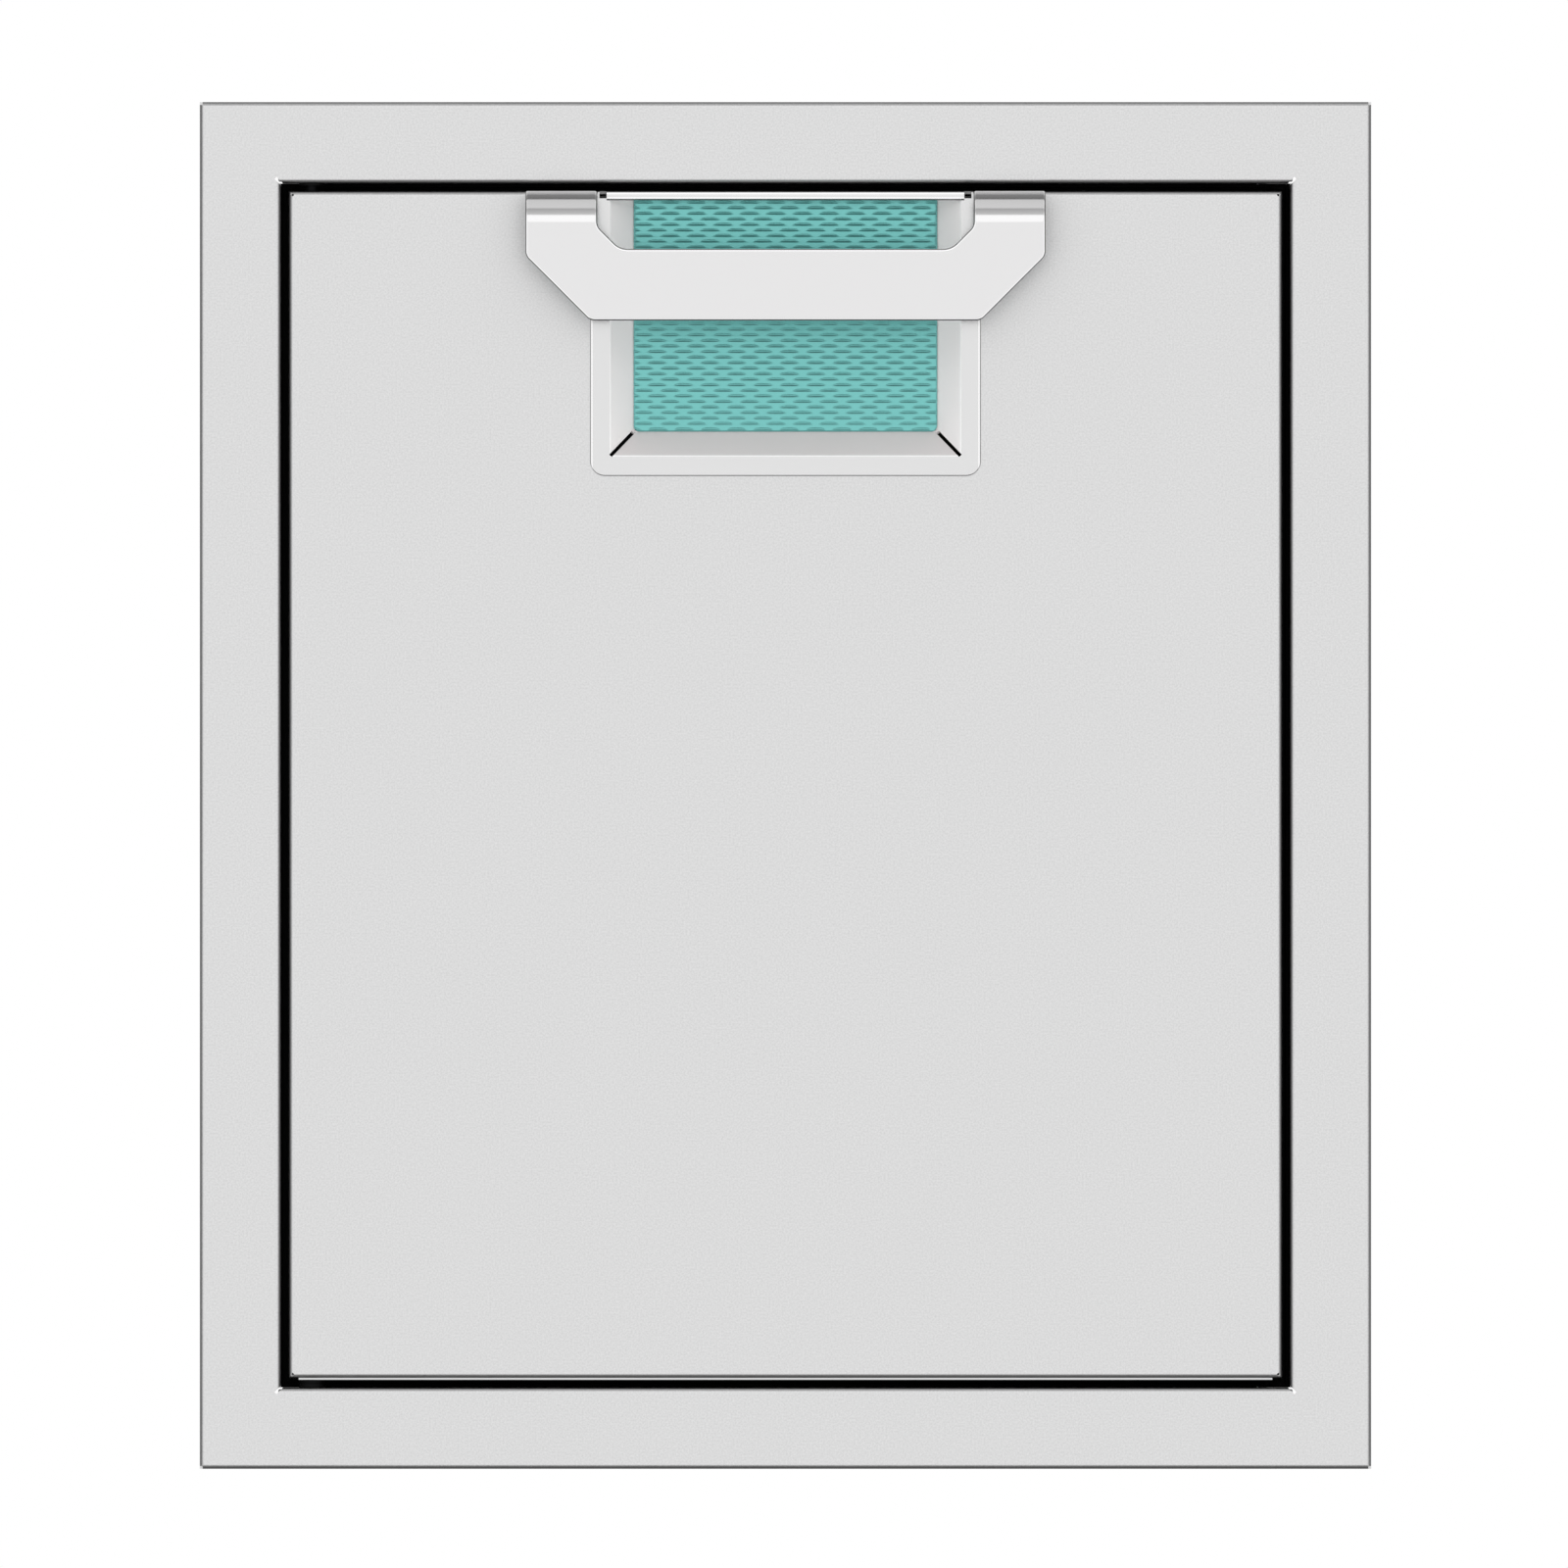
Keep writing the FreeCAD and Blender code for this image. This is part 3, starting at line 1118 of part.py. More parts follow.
def catch_screw_heights():
    """Heights of the two screws of one catch from its middle."""
    return [way * CATCH_SCREW_PITCH / 2 for way in (-1, 1)]


def catch_screws():
    """Cheese head screws through the brackets into the housings."""
    screws = []
    for z in catch_screw_heights():
        shank = rod_y(CATCH_X, z, BRACKET_BACK - CATCH_SCREW_LENGTH, BRACKET_BACK, CATCH_SCREW_RADIUS)
        head = rod_y(CATCH_X, z, BRACKET_BACK, BRACKET_BACK + CATCH_SCREW_HEAD, CATCH_SCREW_HEAD_RADIUS)
        screws += catch_pair(shank.fuse(head).copy)
    return screws


def build():
    """Every node of the door, by name."""
    pin_bore = PIN_RADIUS + RUNNING_CLEARANCE
    upper_plate = pin_plate(SLEEVE_Z, SLEEVE_Z + PIN_PLATE)
    lower_plate = pin_plate(-SLEEVE_Z - PIN_PLATE, -SLEEVE_Z)
    block_top = DOOR_TOP - SHEET
    block_foot = DOOR_BOTTOM + SHEET
    nodes = {
        "face_frame": face_frame(),
        "left_jamb": jamb(),
        "right_jamb": mirrored_x(jamb()),
        "head_rail": head_rail(),
        "sill_rail": mirrored_z(head_rail()),
        "hinge_side_stop": side_stop(),
        "latch_side_stop": mirrored_x(side_stop()),
        "top_stop": top_stop(),
        "bottom_stop": mirrored_z(top_stop()),
        "upper_pin_plate": upper_plate.cut(hinge_hole(BUSH_HOLE_RADIUS)),
        "lower_pin_plate": lower_plate.cut(hinge_hole(PIN_RADIUS + BUSH_SEAT_CLEARANCE)),
        "upper_frame_bush": upper_frame_bush(),
        "lower_hinge_pin": lower_hinge_pin(),
        "lower_thrust_washer": lower_thrust_washer(),
        "catch_housings": catch_pair(catch_housing),
        "catch_magnets": catch_pair(catch_magnet),
        "catch_pole_plates": pole_plates(),
        "catch_brackets": catch_pair(catch_bracket),
        "catch_screws": catch_screws(),
        "door_skin": door_skin(),
        "door_liner": door_liner(),
        "liner_screws": liner_screws(),
        "left_channel": channel(-CHANNEL_OFFSET),
        "right_channel": channel(CHANNEL_OFFSET),
        "pull_tray": pull_tray(),
        "pull_insert": pull_insert(),
        "handle": handle(),
        "handle_backplates": both_x(handle_backplate()),
        "handle_screws": handle_screws(),
        "lower_pivot_block": pivot_block(block_foot, block_foot + LOWER_BLOCK_HEIGHT, BUSH_HOLE_RADIUS),
        "lower_pivot_bush": lower_pivot_bush(),
        "upper_pivot_block": pivot_block(block_top - UPPER_BLOCK_HEIGHT, block_top, pin_bore),
        "spring_seat": spring_seat(),
        "strike_plates": strike_plates(),
        "strike_rivets": strike_rivets(),
        "upper_hinge_pin": upper_hinge_pin(),
        "pin_lever": pin_lever(),
        "pin_clip": pin_clip(),
        "pin_spring": pin_spring(),
    }
    nodes.update(seals())
    return nodes


os.makedirs("parts", exist_ok=True)
for name, solids in build().items():
    save(name, solids)
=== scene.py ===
import bpy
import math
import numpy as np
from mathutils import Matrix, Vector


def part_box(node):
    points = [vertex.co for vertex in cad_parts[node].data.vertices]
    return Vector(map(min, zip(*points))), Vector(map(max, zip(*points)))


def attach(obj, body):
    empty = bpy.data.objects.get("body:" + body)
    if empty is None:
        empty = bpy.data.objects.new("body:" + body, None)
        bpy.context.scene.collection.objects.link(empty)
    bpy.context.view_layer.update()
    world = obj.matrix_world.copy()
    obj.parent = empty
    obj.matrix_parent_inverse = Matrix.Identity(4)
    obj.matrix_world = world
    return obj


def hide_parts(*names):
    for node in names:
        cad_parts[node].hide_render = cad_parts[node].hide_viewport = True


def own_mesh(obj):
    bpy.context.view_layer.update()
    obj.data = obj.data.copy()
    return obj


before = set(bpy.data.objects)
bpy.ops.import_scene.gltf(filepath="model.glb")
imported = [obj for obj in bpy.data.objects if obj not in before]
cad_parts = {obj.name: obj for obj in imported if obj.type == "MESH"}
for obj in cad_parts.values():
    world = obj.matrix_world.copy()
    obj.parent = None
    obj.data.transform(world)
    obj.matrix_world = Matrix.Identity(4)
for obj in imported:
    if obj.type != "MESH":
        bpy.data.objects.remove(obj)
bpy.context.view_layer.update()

# Camera
# The door is seen straight on, from far away through a long lens, so that its edges run
# parallel. The width of the trim frame in the picture sets the distance.
PICTURE_PIXELS = 1600
FRAME_PIXELS = 1195.4
FRAME_CENTRE_PIXEL = (801.5, 801.5)
LENS_MM = 1500.0
SENSOR_MM = 36.0
CLIP_DISTANCES = 3

trim_low, trim_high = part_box("face_frame")
pixel_size = (trim_high.x - trim_low.x) / FRAME_PIXELS
camera_distance = PICTURE_PIXELS * pixel_size * LENS_MM / SENSOR_MM
camera_data = bpy.data.cameras.new("studio_camera")
camera_data.lens = LENS_MM
camera_data.sensor_width = SENSOR_MM
camera_data.clip_end = CLIP_DISTANCES * camera_distance
camera = bpy.data.objects.new("studio_camera", camera_data)
camera.location = (
    (PICTURE_PIXELS / 2 - FRAME_CENTRE_PIXEL[0]) * pixel_size,
    trim_low.y - camera_distance,
    (FRAME_CENTRE_PIXEL[1] - PICTURE_PIXELS / 2) * pixel_size,
)
camera.rotation_euler = (math.radians(90), 0, 0)
bpy.context.scene.collection.objects.link(camera)
bpy.context.scene.camera = camera
bpy.context.scene.view_settings.view_transform = "Standard"

# Studio
# A plain white room with a pale floor below the door. What the steel reflects depends only
# on the direction: white in front, a brighter strip above the camera, and grey flags
# overhead and all round, which draw the edges and the bends.
FLOOR_DROP = 0.20
FLOOR_RADIUS = 5.6
FLOOR_STEPS = 64
FLOOR_LEVEL = 0.92
FLOOR_ROUGHNESS = 0.9
WHITE = (1, 1, 1, 1)
PEAK_LEVEL = 1.25
UPRIGHT_SHARE = (0.80, 0.92)
LEVELS_ALL_ROUND = [(0, 1.0), (42, 1.0), (56, 0.34), (112, 0.34), (180, 0.95)]
LEVELS_ABOVE = [
    (0, 1.0), (4, 1.0), (6, 1.22), (29, 1.22), (31, 0.66), (54, 0.43),
    (56, 0.76), (94, 0.70), (96, 0.17), (142, 0.34), (180, 0.72),
]
LEVELS_BELOW = [(0, 1.0), (26, 1.0), (35, 0.24), (60, 0.24), (66, 0.20), (140, 0.20), (180, 0.9)]
LAMP_PLACE = (0.0, -8.28, 3.5)
LAMP_SIZE = (15.0, 2.16)
LAMP_RADIANCE = 0.45


def linked(tree, socket, value):
    """Sets a socket to a number, vector or colour, or links another node's socket to it."""
    if isinstance(value, bpy.types.NodeSocket):
        tree.links.new(value, socket)
    else:
        socket.default_value = value


def math_node(tree, operation, *values):
    """Math node on numbers or sockets."""
    node = tree.nodes.new("ShaderNodeMath")
    node.operation = operation
    for socket, value in zip(node.inputs, values):
        linked(tree, socket, value)
    return node.outputs[0]


def vector_node(tree, operation, *values):
    """Vector Math node on vectors or sockets."""
    node = tree.nodes.new("ShaderNodeVectorMath")
    node.operation = operation
    for socket, value in zip(node.inputs, values):
        linked(tree, socket, value)
    return node.outputs["Value" if operation == "LENGTH" else "Vector"]


def mixed(tree, kind, amount, first, second):
    """Mix node of a kind, RGBA or FLOAT, from the first to the second by the amount."""
    node = tree.nodes.new("ShaderNodeMix")
    node.data_type = kind
    for name, value in (("Factor", amount), ("A", first), ("B", second)):
        linked(tree, node.inputs[name], value)
    return node.outputs["Result"]


def ranged(tree, value, start, stop):
    """Share from 0 at the start to 1 at the stop, even in between and held beyond them."""
    node = tree.nodes.new("ShaderNodeMapRange")
    linked(tree, node.inputs["Value"], value)
    node.inputs["From Min"].default_value = start
    node.inputs["From Max"].default_value = stop
    return node.outputs["Result"]


def coordinate(tree, kind):
    """Texture coordinate: Object or Normal on a piece, Generated for the sky's direction."""
    return tree.nodes.new("ShaderNodeTexCoord").outputs[kind]


def parts_of(tree, vector):
    """The X, Y and Z sockets of a vector."""
    node = tree.nodes.new("ShaderNodeSeparateXYZ")
    linked(tree, node.inputs[0], vector)
    return node.outputs


def level_ramp(tree, share, stops):
    """Grey level by the angle from the camera's direction. The share is that angle over 180
    degrees, and the stops are degrees and level, in rising order from 0 to 180."""
    ramp = tree.nodes.new("ShaderNodeValToRGB")
    elements = ramp.color_ramp.elements
    for degrees, _ in stops[1:-1]:
        elements.new(degrees / 180)
    for element, (_, level) in zip(elements, stops):
        element.color = (level / PEAK_LEVEL, level / PEAK_LEVEL, level / PEAK_LEVEL, 1)
    linked(tree, ramp.inputs[0], share)
    return ramp.outputs["Color"]


world = bpy.data.worlds.new("studio_world")
bpy.context.scene.world = world
world.use_nodes = True
sky = world.node_tree
direction = coordinate(sky, "Generated")
to_camera = math_node(sky, "MULTIPLY", parts_of(sky, direction)["Y"], -1.0)
angle_share = math_node(sky, "DIVIDE", math_node(sky, "ARCCOSINE", to_camera), math.pi)
sideways = vector_node(sky, "MULTIPLY", direction, (1, 0, 1))
upright = parts_of(sky, vector_node(sky, "NORMALIZE", sideways))["Z"]
overhead = ranged(sky, upright, UPRIGHT_SHARE[0], UPRIGHT_SHARE[1])
underneath = ranged(sky, upright, -UPRIGHT_SHARE[0], -UPRIGHT_SHARE[1])
all_round = level_ramp(sky, angle_share, LEVELS_ALL_ROUND)
above = level_ramp(sky, angle_share, LEVELS_ABOVE)
below = level_ramp(sky, angle_share, LEVELS_BELOW)
upper_half = mixed(sky, "RGBA", overhead, all_round, above)
mirrored = sky.nodes.new("ShaderNodeBackground")
mirrored.inputs["Strength"].default_value = PEAK_LEVEL
linked(sky, mirrored.inputs["Color"], mixed(sky, "RGBA", underneath, upper_half, below))
backdrop = sky.nodes["Background"]
backdrop.inputs["Color"].default_value = WHITE
backdrop.inputs["Strength"].default_value = 1.0
light_path = sky.nodes.new("ShaderNodeLightPath")
choice = sky.nodes.new("ShaderNodeMixShader")
linked(sky, choice.inputs[0], light_path.outputs["Is Glossy Ray"])
linked(sky, choice.inputs[1], backdrop.outputs[0])
linked(sky, choice.inputs[2], mirrored.outputs[0])
linked(sky, sky.nodes["World Output"].inputs[0], choice.outputs[0])

lamp_data = bpy.data.lights.new("lamp_over_camera", "AREA")
lamp_data.shape = "RECTANGLE"
lamp_data.size, lamp_data.size_y = LAMP_SIZE
lamp_data.energy = LAMP_RADIANCE * math.pi * LAMP_SIZE[0] * LAMP_SIZE[1]
lamp = bpy.data.objects.new("lamp_over_camera", lamp_data)
lamp.location = LAMP_PLACE
lamp.rotation_euler = (-Vector(LAMP_PLACE)).to_track_quat("-Z", "Y").to_euler()
lamp.visible_camera = False
lamp.visible_glossy = False
bpy.context.scene.collection.objects.link(lamp)

floor_turns = np.linspace(0, 2 * math.pi, FLOOR_STEPS, endpoint=False)
floor_height = np.full(FLOOR_STEPS, trim_low.z - FLOOR_DROP)
floor_rim = [FLOOR_RADIUS * np.cos(floor_turns), FLOOR_RADIUS * np.sin(floor_turns), floor_height]
floor_material = bpy.data.materials.new("studio_floor")
floor_material.use_nodes = True
floor_surface = floor_material.node_tree.nodes["Principled BSDF"]
floor_surface.inputs["Base Color"].default_value = (FLOOR_LEVEL, FLOOR_LEVEL, FLOOR_LEVEL, 1)
floor_surface.inputs["Roughness"].default_value = FLOOR_ROUGHNESS
floor_mesh = bpy.data.meshes.new("studio_floor")
floor_mesh.from_pydata(np.stack(floor_rim, axis=1).tolist(), [], [list(range(FLOOR_STEPS))])
floor_mesh.materials.append(floor_material)
floor = bpy.data.objects.new("studio_floor", floor_mesh)
floor.visible_glossy = False
bpy.context.scene.collection.objects.link(floor)

# Trim frame
# One folded sheet of satin stainless steel, 1.2 mm thick: a flat flange, an outer return
# that bears on the wall of the island, and an inner return round the opening.
TRIM_COLOUR = (0.727, 0.727, 0.728)
TRIM_ROUGHNESS = 0.33
FINE_GRAIN = (1200.0, 1200.0, 1200.0)
GRAIN_DETAIL = 3.0
GRAIN_COARSENESS = 0.65
GRAIN_GLOSS = 0.10
GRAIN_HEIGHT = 0.00004
CLOUD_SCALE = 14.0
CLOUD_DETAIL = 2.0
CLOUD_GLOSS = 0.03
BEND_SHADE = 0.5
BLACK = (0, 0, 0, 1)


def noise(tree, vector, scale, detail, coarseness=0.5):
    """Noise texture on a vector."""
    node = tree.nodes.new("ShaderNodeTexNoise")
    linked(tree, node.inputs["Vector"], vector)
    node.inputs["Scale"].default_value = scale
    node.inputs["Detail"].default_value = detail
    node.inputs["Roughness"].default_value = coarseness
    return node.outputs["Fac"]


def raised(tree, height, strength, distance):
    """Normal of a surface that a height raises by a distance."""
    node = tree.nodes.new("ShaderNodeBump")
    node.inputs["Strength"].default_value = strength
    node.inputs["Distance"].default_value = distance
    linked(tree, node.inputs["Height"], height)
    return node.outputs["Normal"]


def overlaid(material, amount, colour):
    """Lays a colour over the one that a finish has so far, by an amount."""
    tree = material.node_tree
    base = tree.nodes["Principled BSDF"].inputs["Base Color"]
    linked(tree, base, mixed(tree, "RGBA", amount, base.links[0].from_socket, colour))


def steel_finish(name, colour, roughness, grain=FINE_GRAIN, depth=0.06, tone=0.25, bend=BEND_SHADE):
    """Satin steel. A fine noise varies colour, gloss and height a little, and a slow noise
    adds the faint cloudiness of handled sheet. With n as the share of the surface's normal
    that points to the front or back, painted shade darkens the colour by bend * 4 * n * (1 - n):
    on the bends, which it draws as dark lines, and not on flats or walls."""
    material = bpy.data.materials.new(name)
    material.use_nodes = True
    tree = material.node_tree
    surface = tree.nodes["Principled BSDF"].inputs
    surface["Metallic"].default_value = 1.0
    place = coordinate(tree, "Object")
    stretched = vector_node(tree, "MULTIPLY", place, grain)
    streaks = noise(tree, stretched, 1.0, GRAIN_DETAIL, GRAIN_COARSENESS)
    clouds = noise(tree, place, CLOUD_SCALE, CLOUD_DETAIL)
    dark = (*[part * (1 - tone) for part in colour], 1)
    light = (*[min(part * (1 + tone), 1) for part in colour], 1)
    linked(tree, surface["Base Color"], mixed(tree, "RGBA", streaks, dark, light))
    # Painted shade on the bends, darkest half way round them.
    if bend:
        share = math_node(tree, "ABSOLUTE", parts_of(tree, coordinate(tree, "Normal"))["Y"])
        folded = math_node(tree, "MULTIPLY", share, math_node(tree, "SUBTRACT", 1.0, share))
        overlaid(material, math_node(tree, "MULTIPLY", folded, 4 * bend), BLACK)
    least = roughness - (GRAIN_GLOSS + CLOUD_GLOSS) / 2
    gloss = math_node(tree, "MULTIPLY_ADD", streaks, GRAIN_GLOSS, least)
    linked(tree, surface["Roughness"], math_node(tree, "MULTIPLY_ADD", clouds, CLOUD_GLOSS, gloss))
    linked(tree, surface["Normal"], raised(tree, streaks, depth, GRAIN_HEIGHT))
    return material


def finish_nodes(material, slot, *nodes):
    """Gives pieces of the frame their finish. The slot argument is not used."""
    for node in nodes:
        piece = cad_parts[node]
        piece.data.materials.clear()
        piece.data.materials.append(material)


trim_steel = steel_finish("trim_steel", TRIM_COLOUR, TRIM_ROUGHNESS)
finish_nodes(trim_steel, "trim_steel", "face_frame")

# Sleeve and stops
# Mill-finished stainless sheet behind the trim: two jambs, two rails and the four angles
# that the door stops against. Spot welds leave small straw-coloured marks along them, and
# the fronts of the stops are painted black as shade, so that the gap round the door looks dark.
MILL_COLOUR = (0.64, 0.645, 0.65)
MILL_GRAIN = (110.0, 110.0, 1700.0)
WELD_PITCH = 0.088
WELD_RADIUS = 0.0042
WELD_RINGS = (0.30, 0.55)
WELD_CORE = (0.40, 0.40, 0.41, 1)
WELD_TINT = (0.56, 0.47, 0.34, 1)
FRONT_FACING = -0.6
STOP_SHADE_REACH = 0.0003
PAINTED_SHADE_BLACK = (0.004, 0.004, 0.004, 1)
JAMB_NODES = ("left_jamb", "right_jamb", "hinge_side_stop", "latch_side_stop")
RAIL_NODES = ("head_rail", "sill_rail", "top_stop", "bottom_stop")


def shaded_inside(material, near, far, shade):
    """Gives the faces that look to the front between two depths a painted shade of their own."""
    tree = material.node_tree
    depth = parts_of(tree, coordinate(tree, "Object"))["Y"]
    turned = parts_of(tree, coordinate(tree, "Normal"))["Y"]
    between = math_node(tree, "COMPARE", depth, (near + far) / 2, (far - near) / 2)
    facing = math_node(tree, "LESS_THAN", turned, FRONT_FACING)
    overlaid(material, math_node(tree, "MULTIPLY", between, facing), shade)


def weld_marks(material, along, middle):
    """Adds round marks in a row to a finish. A mark's distance r is the length of the two
    offsets from its middle: along the row, wrapped to one pitch, and across it. Its colour
    goes from the core's to the tint's, and fades out towards its radius."""
    tree = material.node_tree
    place = parts_of(tree, coordinate(tree, "Object"))
    offset = tree.nodes.new("ShaderNodeCombineXYZ")
    step = math_node(tree, "WRAP", place[along], WELD_PITCH / 2, -WELD_PITCH / 2)
    linked(tree, offset.inputs["X"], step)
    linked(tree, offset.inputs["Y"], math_node(tree, "SUBTRACT", place["Y"], middle))
    distance = vector_node(tree, "LENGTH", offset.outputs[0])
    reach = math_node(tree, "DIVIDE", distance, WELD_RADIUS)
    mark = mixed(tree, "RGBA", ranged(tree, reach, *WELD_RINGS), WELD_CORE, WELD_TINT)
    overlaid(material, ranged(tree, reach, 1.0, WELD_RINGS[1]), mark)


stop_low, stop_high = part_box("latch_side_stop")
for name, along, nodes in (("jamb_steel", "Z", JAMB_NODES), ("rail_steel", "X", RAIL_NODES)):
    mill_steel = steel_finish(
        name, MILL_COLOUR, roughness=0.36, grain=MILL_GRAIN, depth=0.03, tone=0.08, bend=0
    )
    weld_marks(mill_steel, along, (stop_low.y + stop_high.y) / 2)
    # Painted shade: the fronts of the stops turn black.
    shaded_inside(mill_steel, stop_low.y - STOP_SHADE_REACH, stop_low.y + STOP_SHADE_REACH, PAINTED_SHADE_BLACK)
    finish_nodes(mill_steel, "sleeve_steel", *nodes)

# Seals
# Four strips of black rubber, glued to the fronts of the stops. Each has a flat foot and a
# bulb, except that the strip at the hinge side, where the door swings past, is a flat one.
MOULDED_SHINE = 0.1
PEBBLE_DETAIL = 2.0
PEBBLE_TONES = (0.7, 1.3)
PEBBLE_BLUE = 0.02
PEBBLE_GLOSS = 0.16
PEBBLE_HEIGHT = 0.00008
SEAL_FOOT = 0.0009
SEAL_SHOULDER = 0.25
SEAL_BULB_SHARE = 0.72
SEAL_THIN_END = 0.0083
SEAL_RAMP = 0.0025
SEAL_STEPS = 40
AXIS_X = 0
AXIS_Z = 2


def moulded_black(name, level, roughness, scale, depth):
    """Moulded rubber or plastic with a fine pebbled skin and slightly uneven gloss."""
    material = bpy.data.materials.new(name)
    material.use_nodes = True
    tree = material.node_tree
    surface = tree.nodes["Principled BSDF"].inputs
    surface["Specular IOR Level"].default_value = MOULDED_SHINE
    pebbles = noise(tree, coordinate(tree, "Object"), scale, PEBBLE_DETAIL)
    dark, light = [(level * t, level * t, level * (t + PEBBLE_BLUE), 1) for t in PEBBLE_TONES]
    linked(tree, surface["Base Color"], mixed(tree, "RGBA", pebbles, dark, light))
    gloss = math_node(tree, "MULTIPLY_ADD", pebbles, PEBBLE_GLOSS, roughness - PEBBLE_GLOSS / 2)
    linked(tree, surface["Roughness"], gloss)
    linked(tree, surface["Normal"], raised(tree, pebbles, depth, PEBBLE_HEIGHT))
    return material


def tube(rings, around):
    """Quads between neighbouring rings of points, and a flat cap on each end."""
    here = np.arange(around)
    after = np.roll(here, -1)
    start = np.arange(rings - 1)[:, None] * around
    corners = [start + here, start + after, start + after + around, start + here + around]
    quads = np.stack(corners, axis=-1).reshape(-1, 4)
    return quads, [here[::-1], (rings - 1) * around + here]


def new_piece(name, points, quads, caps, material, body, node=None, soft_degrees=40):
    """Closed mesh that stands for a node of the frame, if one is named. The sum of the
    signed volumes of the wedges from the origin to all faces tells whether they point
    outwards; if it is below zero they are turned. Folds sharper than soft_degrees stay
    crisp."""
    fans = [points[quads]] + [points[cap][None] for cap in caps]
    wedges = [np.sum(fan[:, :1] * np.cross(fan[:, 1:-1], fan[:, 2:])) for fan in fans]
    if sum(wedges) < 0:
        quads = quads[:, ::-1]
        caps = [cap[::-1] for cap in caps]
    mesh = bpy.data.meshes.new(name)
    mesh.from_pydata(points.tolist(), [], quads.tolist() + [cap.tolist() for cap in caps])
    mesh.shade_smooth()
    mesh.set_sharp_from_angle(angle=math.radians(soft_degrees))
    mesh.materials.append(material)
    piece = bpy.data.objects.new(name, mesh)
    bpy.context.scene.collection.objects.link(piece)
    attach(piece, body)
    if node:
        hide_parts(node)
    return piece


def seal_strip(name, node, run, cross, bulb, thin_end=False):
    """Rubber strip along the axis run. With u = half width * cos(turn) as the distance from
    its middle on the axis cross, it is as high as foot * sin(turn)^shoulder +
    bulb * sqrt(1 - (u / b)^2), where b is the bulb's half width. With a thin end, the bulb
    starts after that end and rises to its full height over a short ramp."""
    low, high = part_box(node)
    half_width = (high[cross] - low[cross]) / 2
    turn = np.linspace(0, math.pi, SEAL_STEPS + 1)
    u = half_width * np.cos(turn)
    foot = SEAL_FOOT * np.sin(turn) ** SEAL_SHOULDER
    crown = np.sqrt(np.clip(1 - (u / (SEAL_BULB_SHARE * half_width)) ** 2, 0, 1))
    peak = high.y - low.y - SEAL_FOOT if bulb else 0.0
    stations = [low[run], high[run]]
    share = [1.0, 1.0]
    if thin_end:
        stations[1:1] = [low[run] + SEAL_THIN_END, low[run] + SEAL_THIN_END + SEAL_RAMP]
        share = [0.0, 0.0, 1.0, 1.0]
    rings = np.empty((len(stations), len(u), 3))
    rings[..., run] = np.array(stations)[:, None]
    rings[..., 1] = high.y - foot - np.array(share)[:, None] * peak * crown
    rings[..., cross] = (low[cross] + high[cross]) / 2 + u
    quads, caps = tube(len(stations), len(u))
    new_piece(name, rings.reshape(-1, 3), quads, caps, seal_rubber, "frame", node)


seal_rubber = moulded_black("seal_rubber", level=0.004, roughness=0.75, scale=2600.0, depth=0.5)
seal_strip("hinge_side_strip", "hinge_seal", AXIS_Z, AXIS_X, bulb=False)
seal_strip("latch_side_strip", "latch_seal", AXIS_Z, AXIS_X, bulb=True)
seal_strip("top_strip", "top_seal", AXIS_X, AXIS_Z, bulb=True, thin_end=True)
seal_strip("bottom_strip", "bottom_seal", AXIS_X, AXIS_Z, bulb=True, thin_end=True)

# Door pan, liner and channels
# The front is a pan of the same satin sheet as the trim, with painted shade on its faces
# inside. A flat liner closes its back, painted black inside as shade and with a painted
# shade line along its lowest edge, and two lipped channels of zinc plated steel stiffen it in between.
LINER_COLOUR = (0.70, 0.705, 0.71)
LINER_GRAIN = (1500.0, 1500.0, 120.0)
LINER_EDGE_SHADE_BAND = (0.00048, 0.00030)
LOWER_EDGE_SHADE = (0.02, 0.02, 0.02, 1)
LINER_SHADE_DEPTH = (0.0105, 0.0111)
PAN_INSIDE_DEPTH = (-0.0052, 0.0098)
PAN_INSIDE_SHADE = (0.25, 0.25, 0.25, 1)
ZINC_COLOUR = (0.56, 0.57, 0.58)
ZINC_GRAIN = (260.0, 260.0, 260.0)


def shaded_lower_edge(material, bottom):
    """Darkens a finish over the lowest part of a sheet with painted shade, a dark line where its edge
    turns away.
    """
    tree = material.node_tree
    height = parts_of(tree, coordinate(tree, "Object"))["Z"]
    lower_edge_shade = ranged(tree, height, bottom + LINER_EDGE_SHADE_BAND[0], bottom + LINER_EDGE_SHADE_BAND[1])
    overlaid(material, lower_edge_shade, LOWER_EDGE_SHADE)


door_steel = steel_finish("door_steel", TRIM_COLOUR, TRIM_ROUGHNESS)
# Painted shade on the faces that look to the front inside the pan.
shaded_inside(door_steel, *PAN_INSIDE_DEPTH, PAN_INSIDE_SHADE)
finish_nodes(door_steel, "door_steel", "door_skin")
liner_steel = steel_finish(
    "liner_steel", LINER_COLOUR, roughness=0.36, grain=LINER_GRAIN, depth=0.03, tone=0.07, bend=0
)
# Painted shade line along the liner's lowest edge.
shaded_lower_edge(liner_steel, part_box("door_liner")[0].z)
# Painted shade: the liner's inner faces that look to the front turn black.
shaded_inside(liner_steel, *LINER_SHADE_DEPTH, PAINTED_SHADE_BLACK)
finish_nodes(liner_steel, "door_steel", "door_liner")
inner_zinc = steel_finish(
    "inner_zinc", ZINC_COLOUR, roughness=0.42, grain=ZINC_GRAIN, depth=0.05, tone=0.09, bend=0
)
finish_nodes(inner_zinc, "inner_zinc", "left_channel", "right_channel", "handle_backplates")

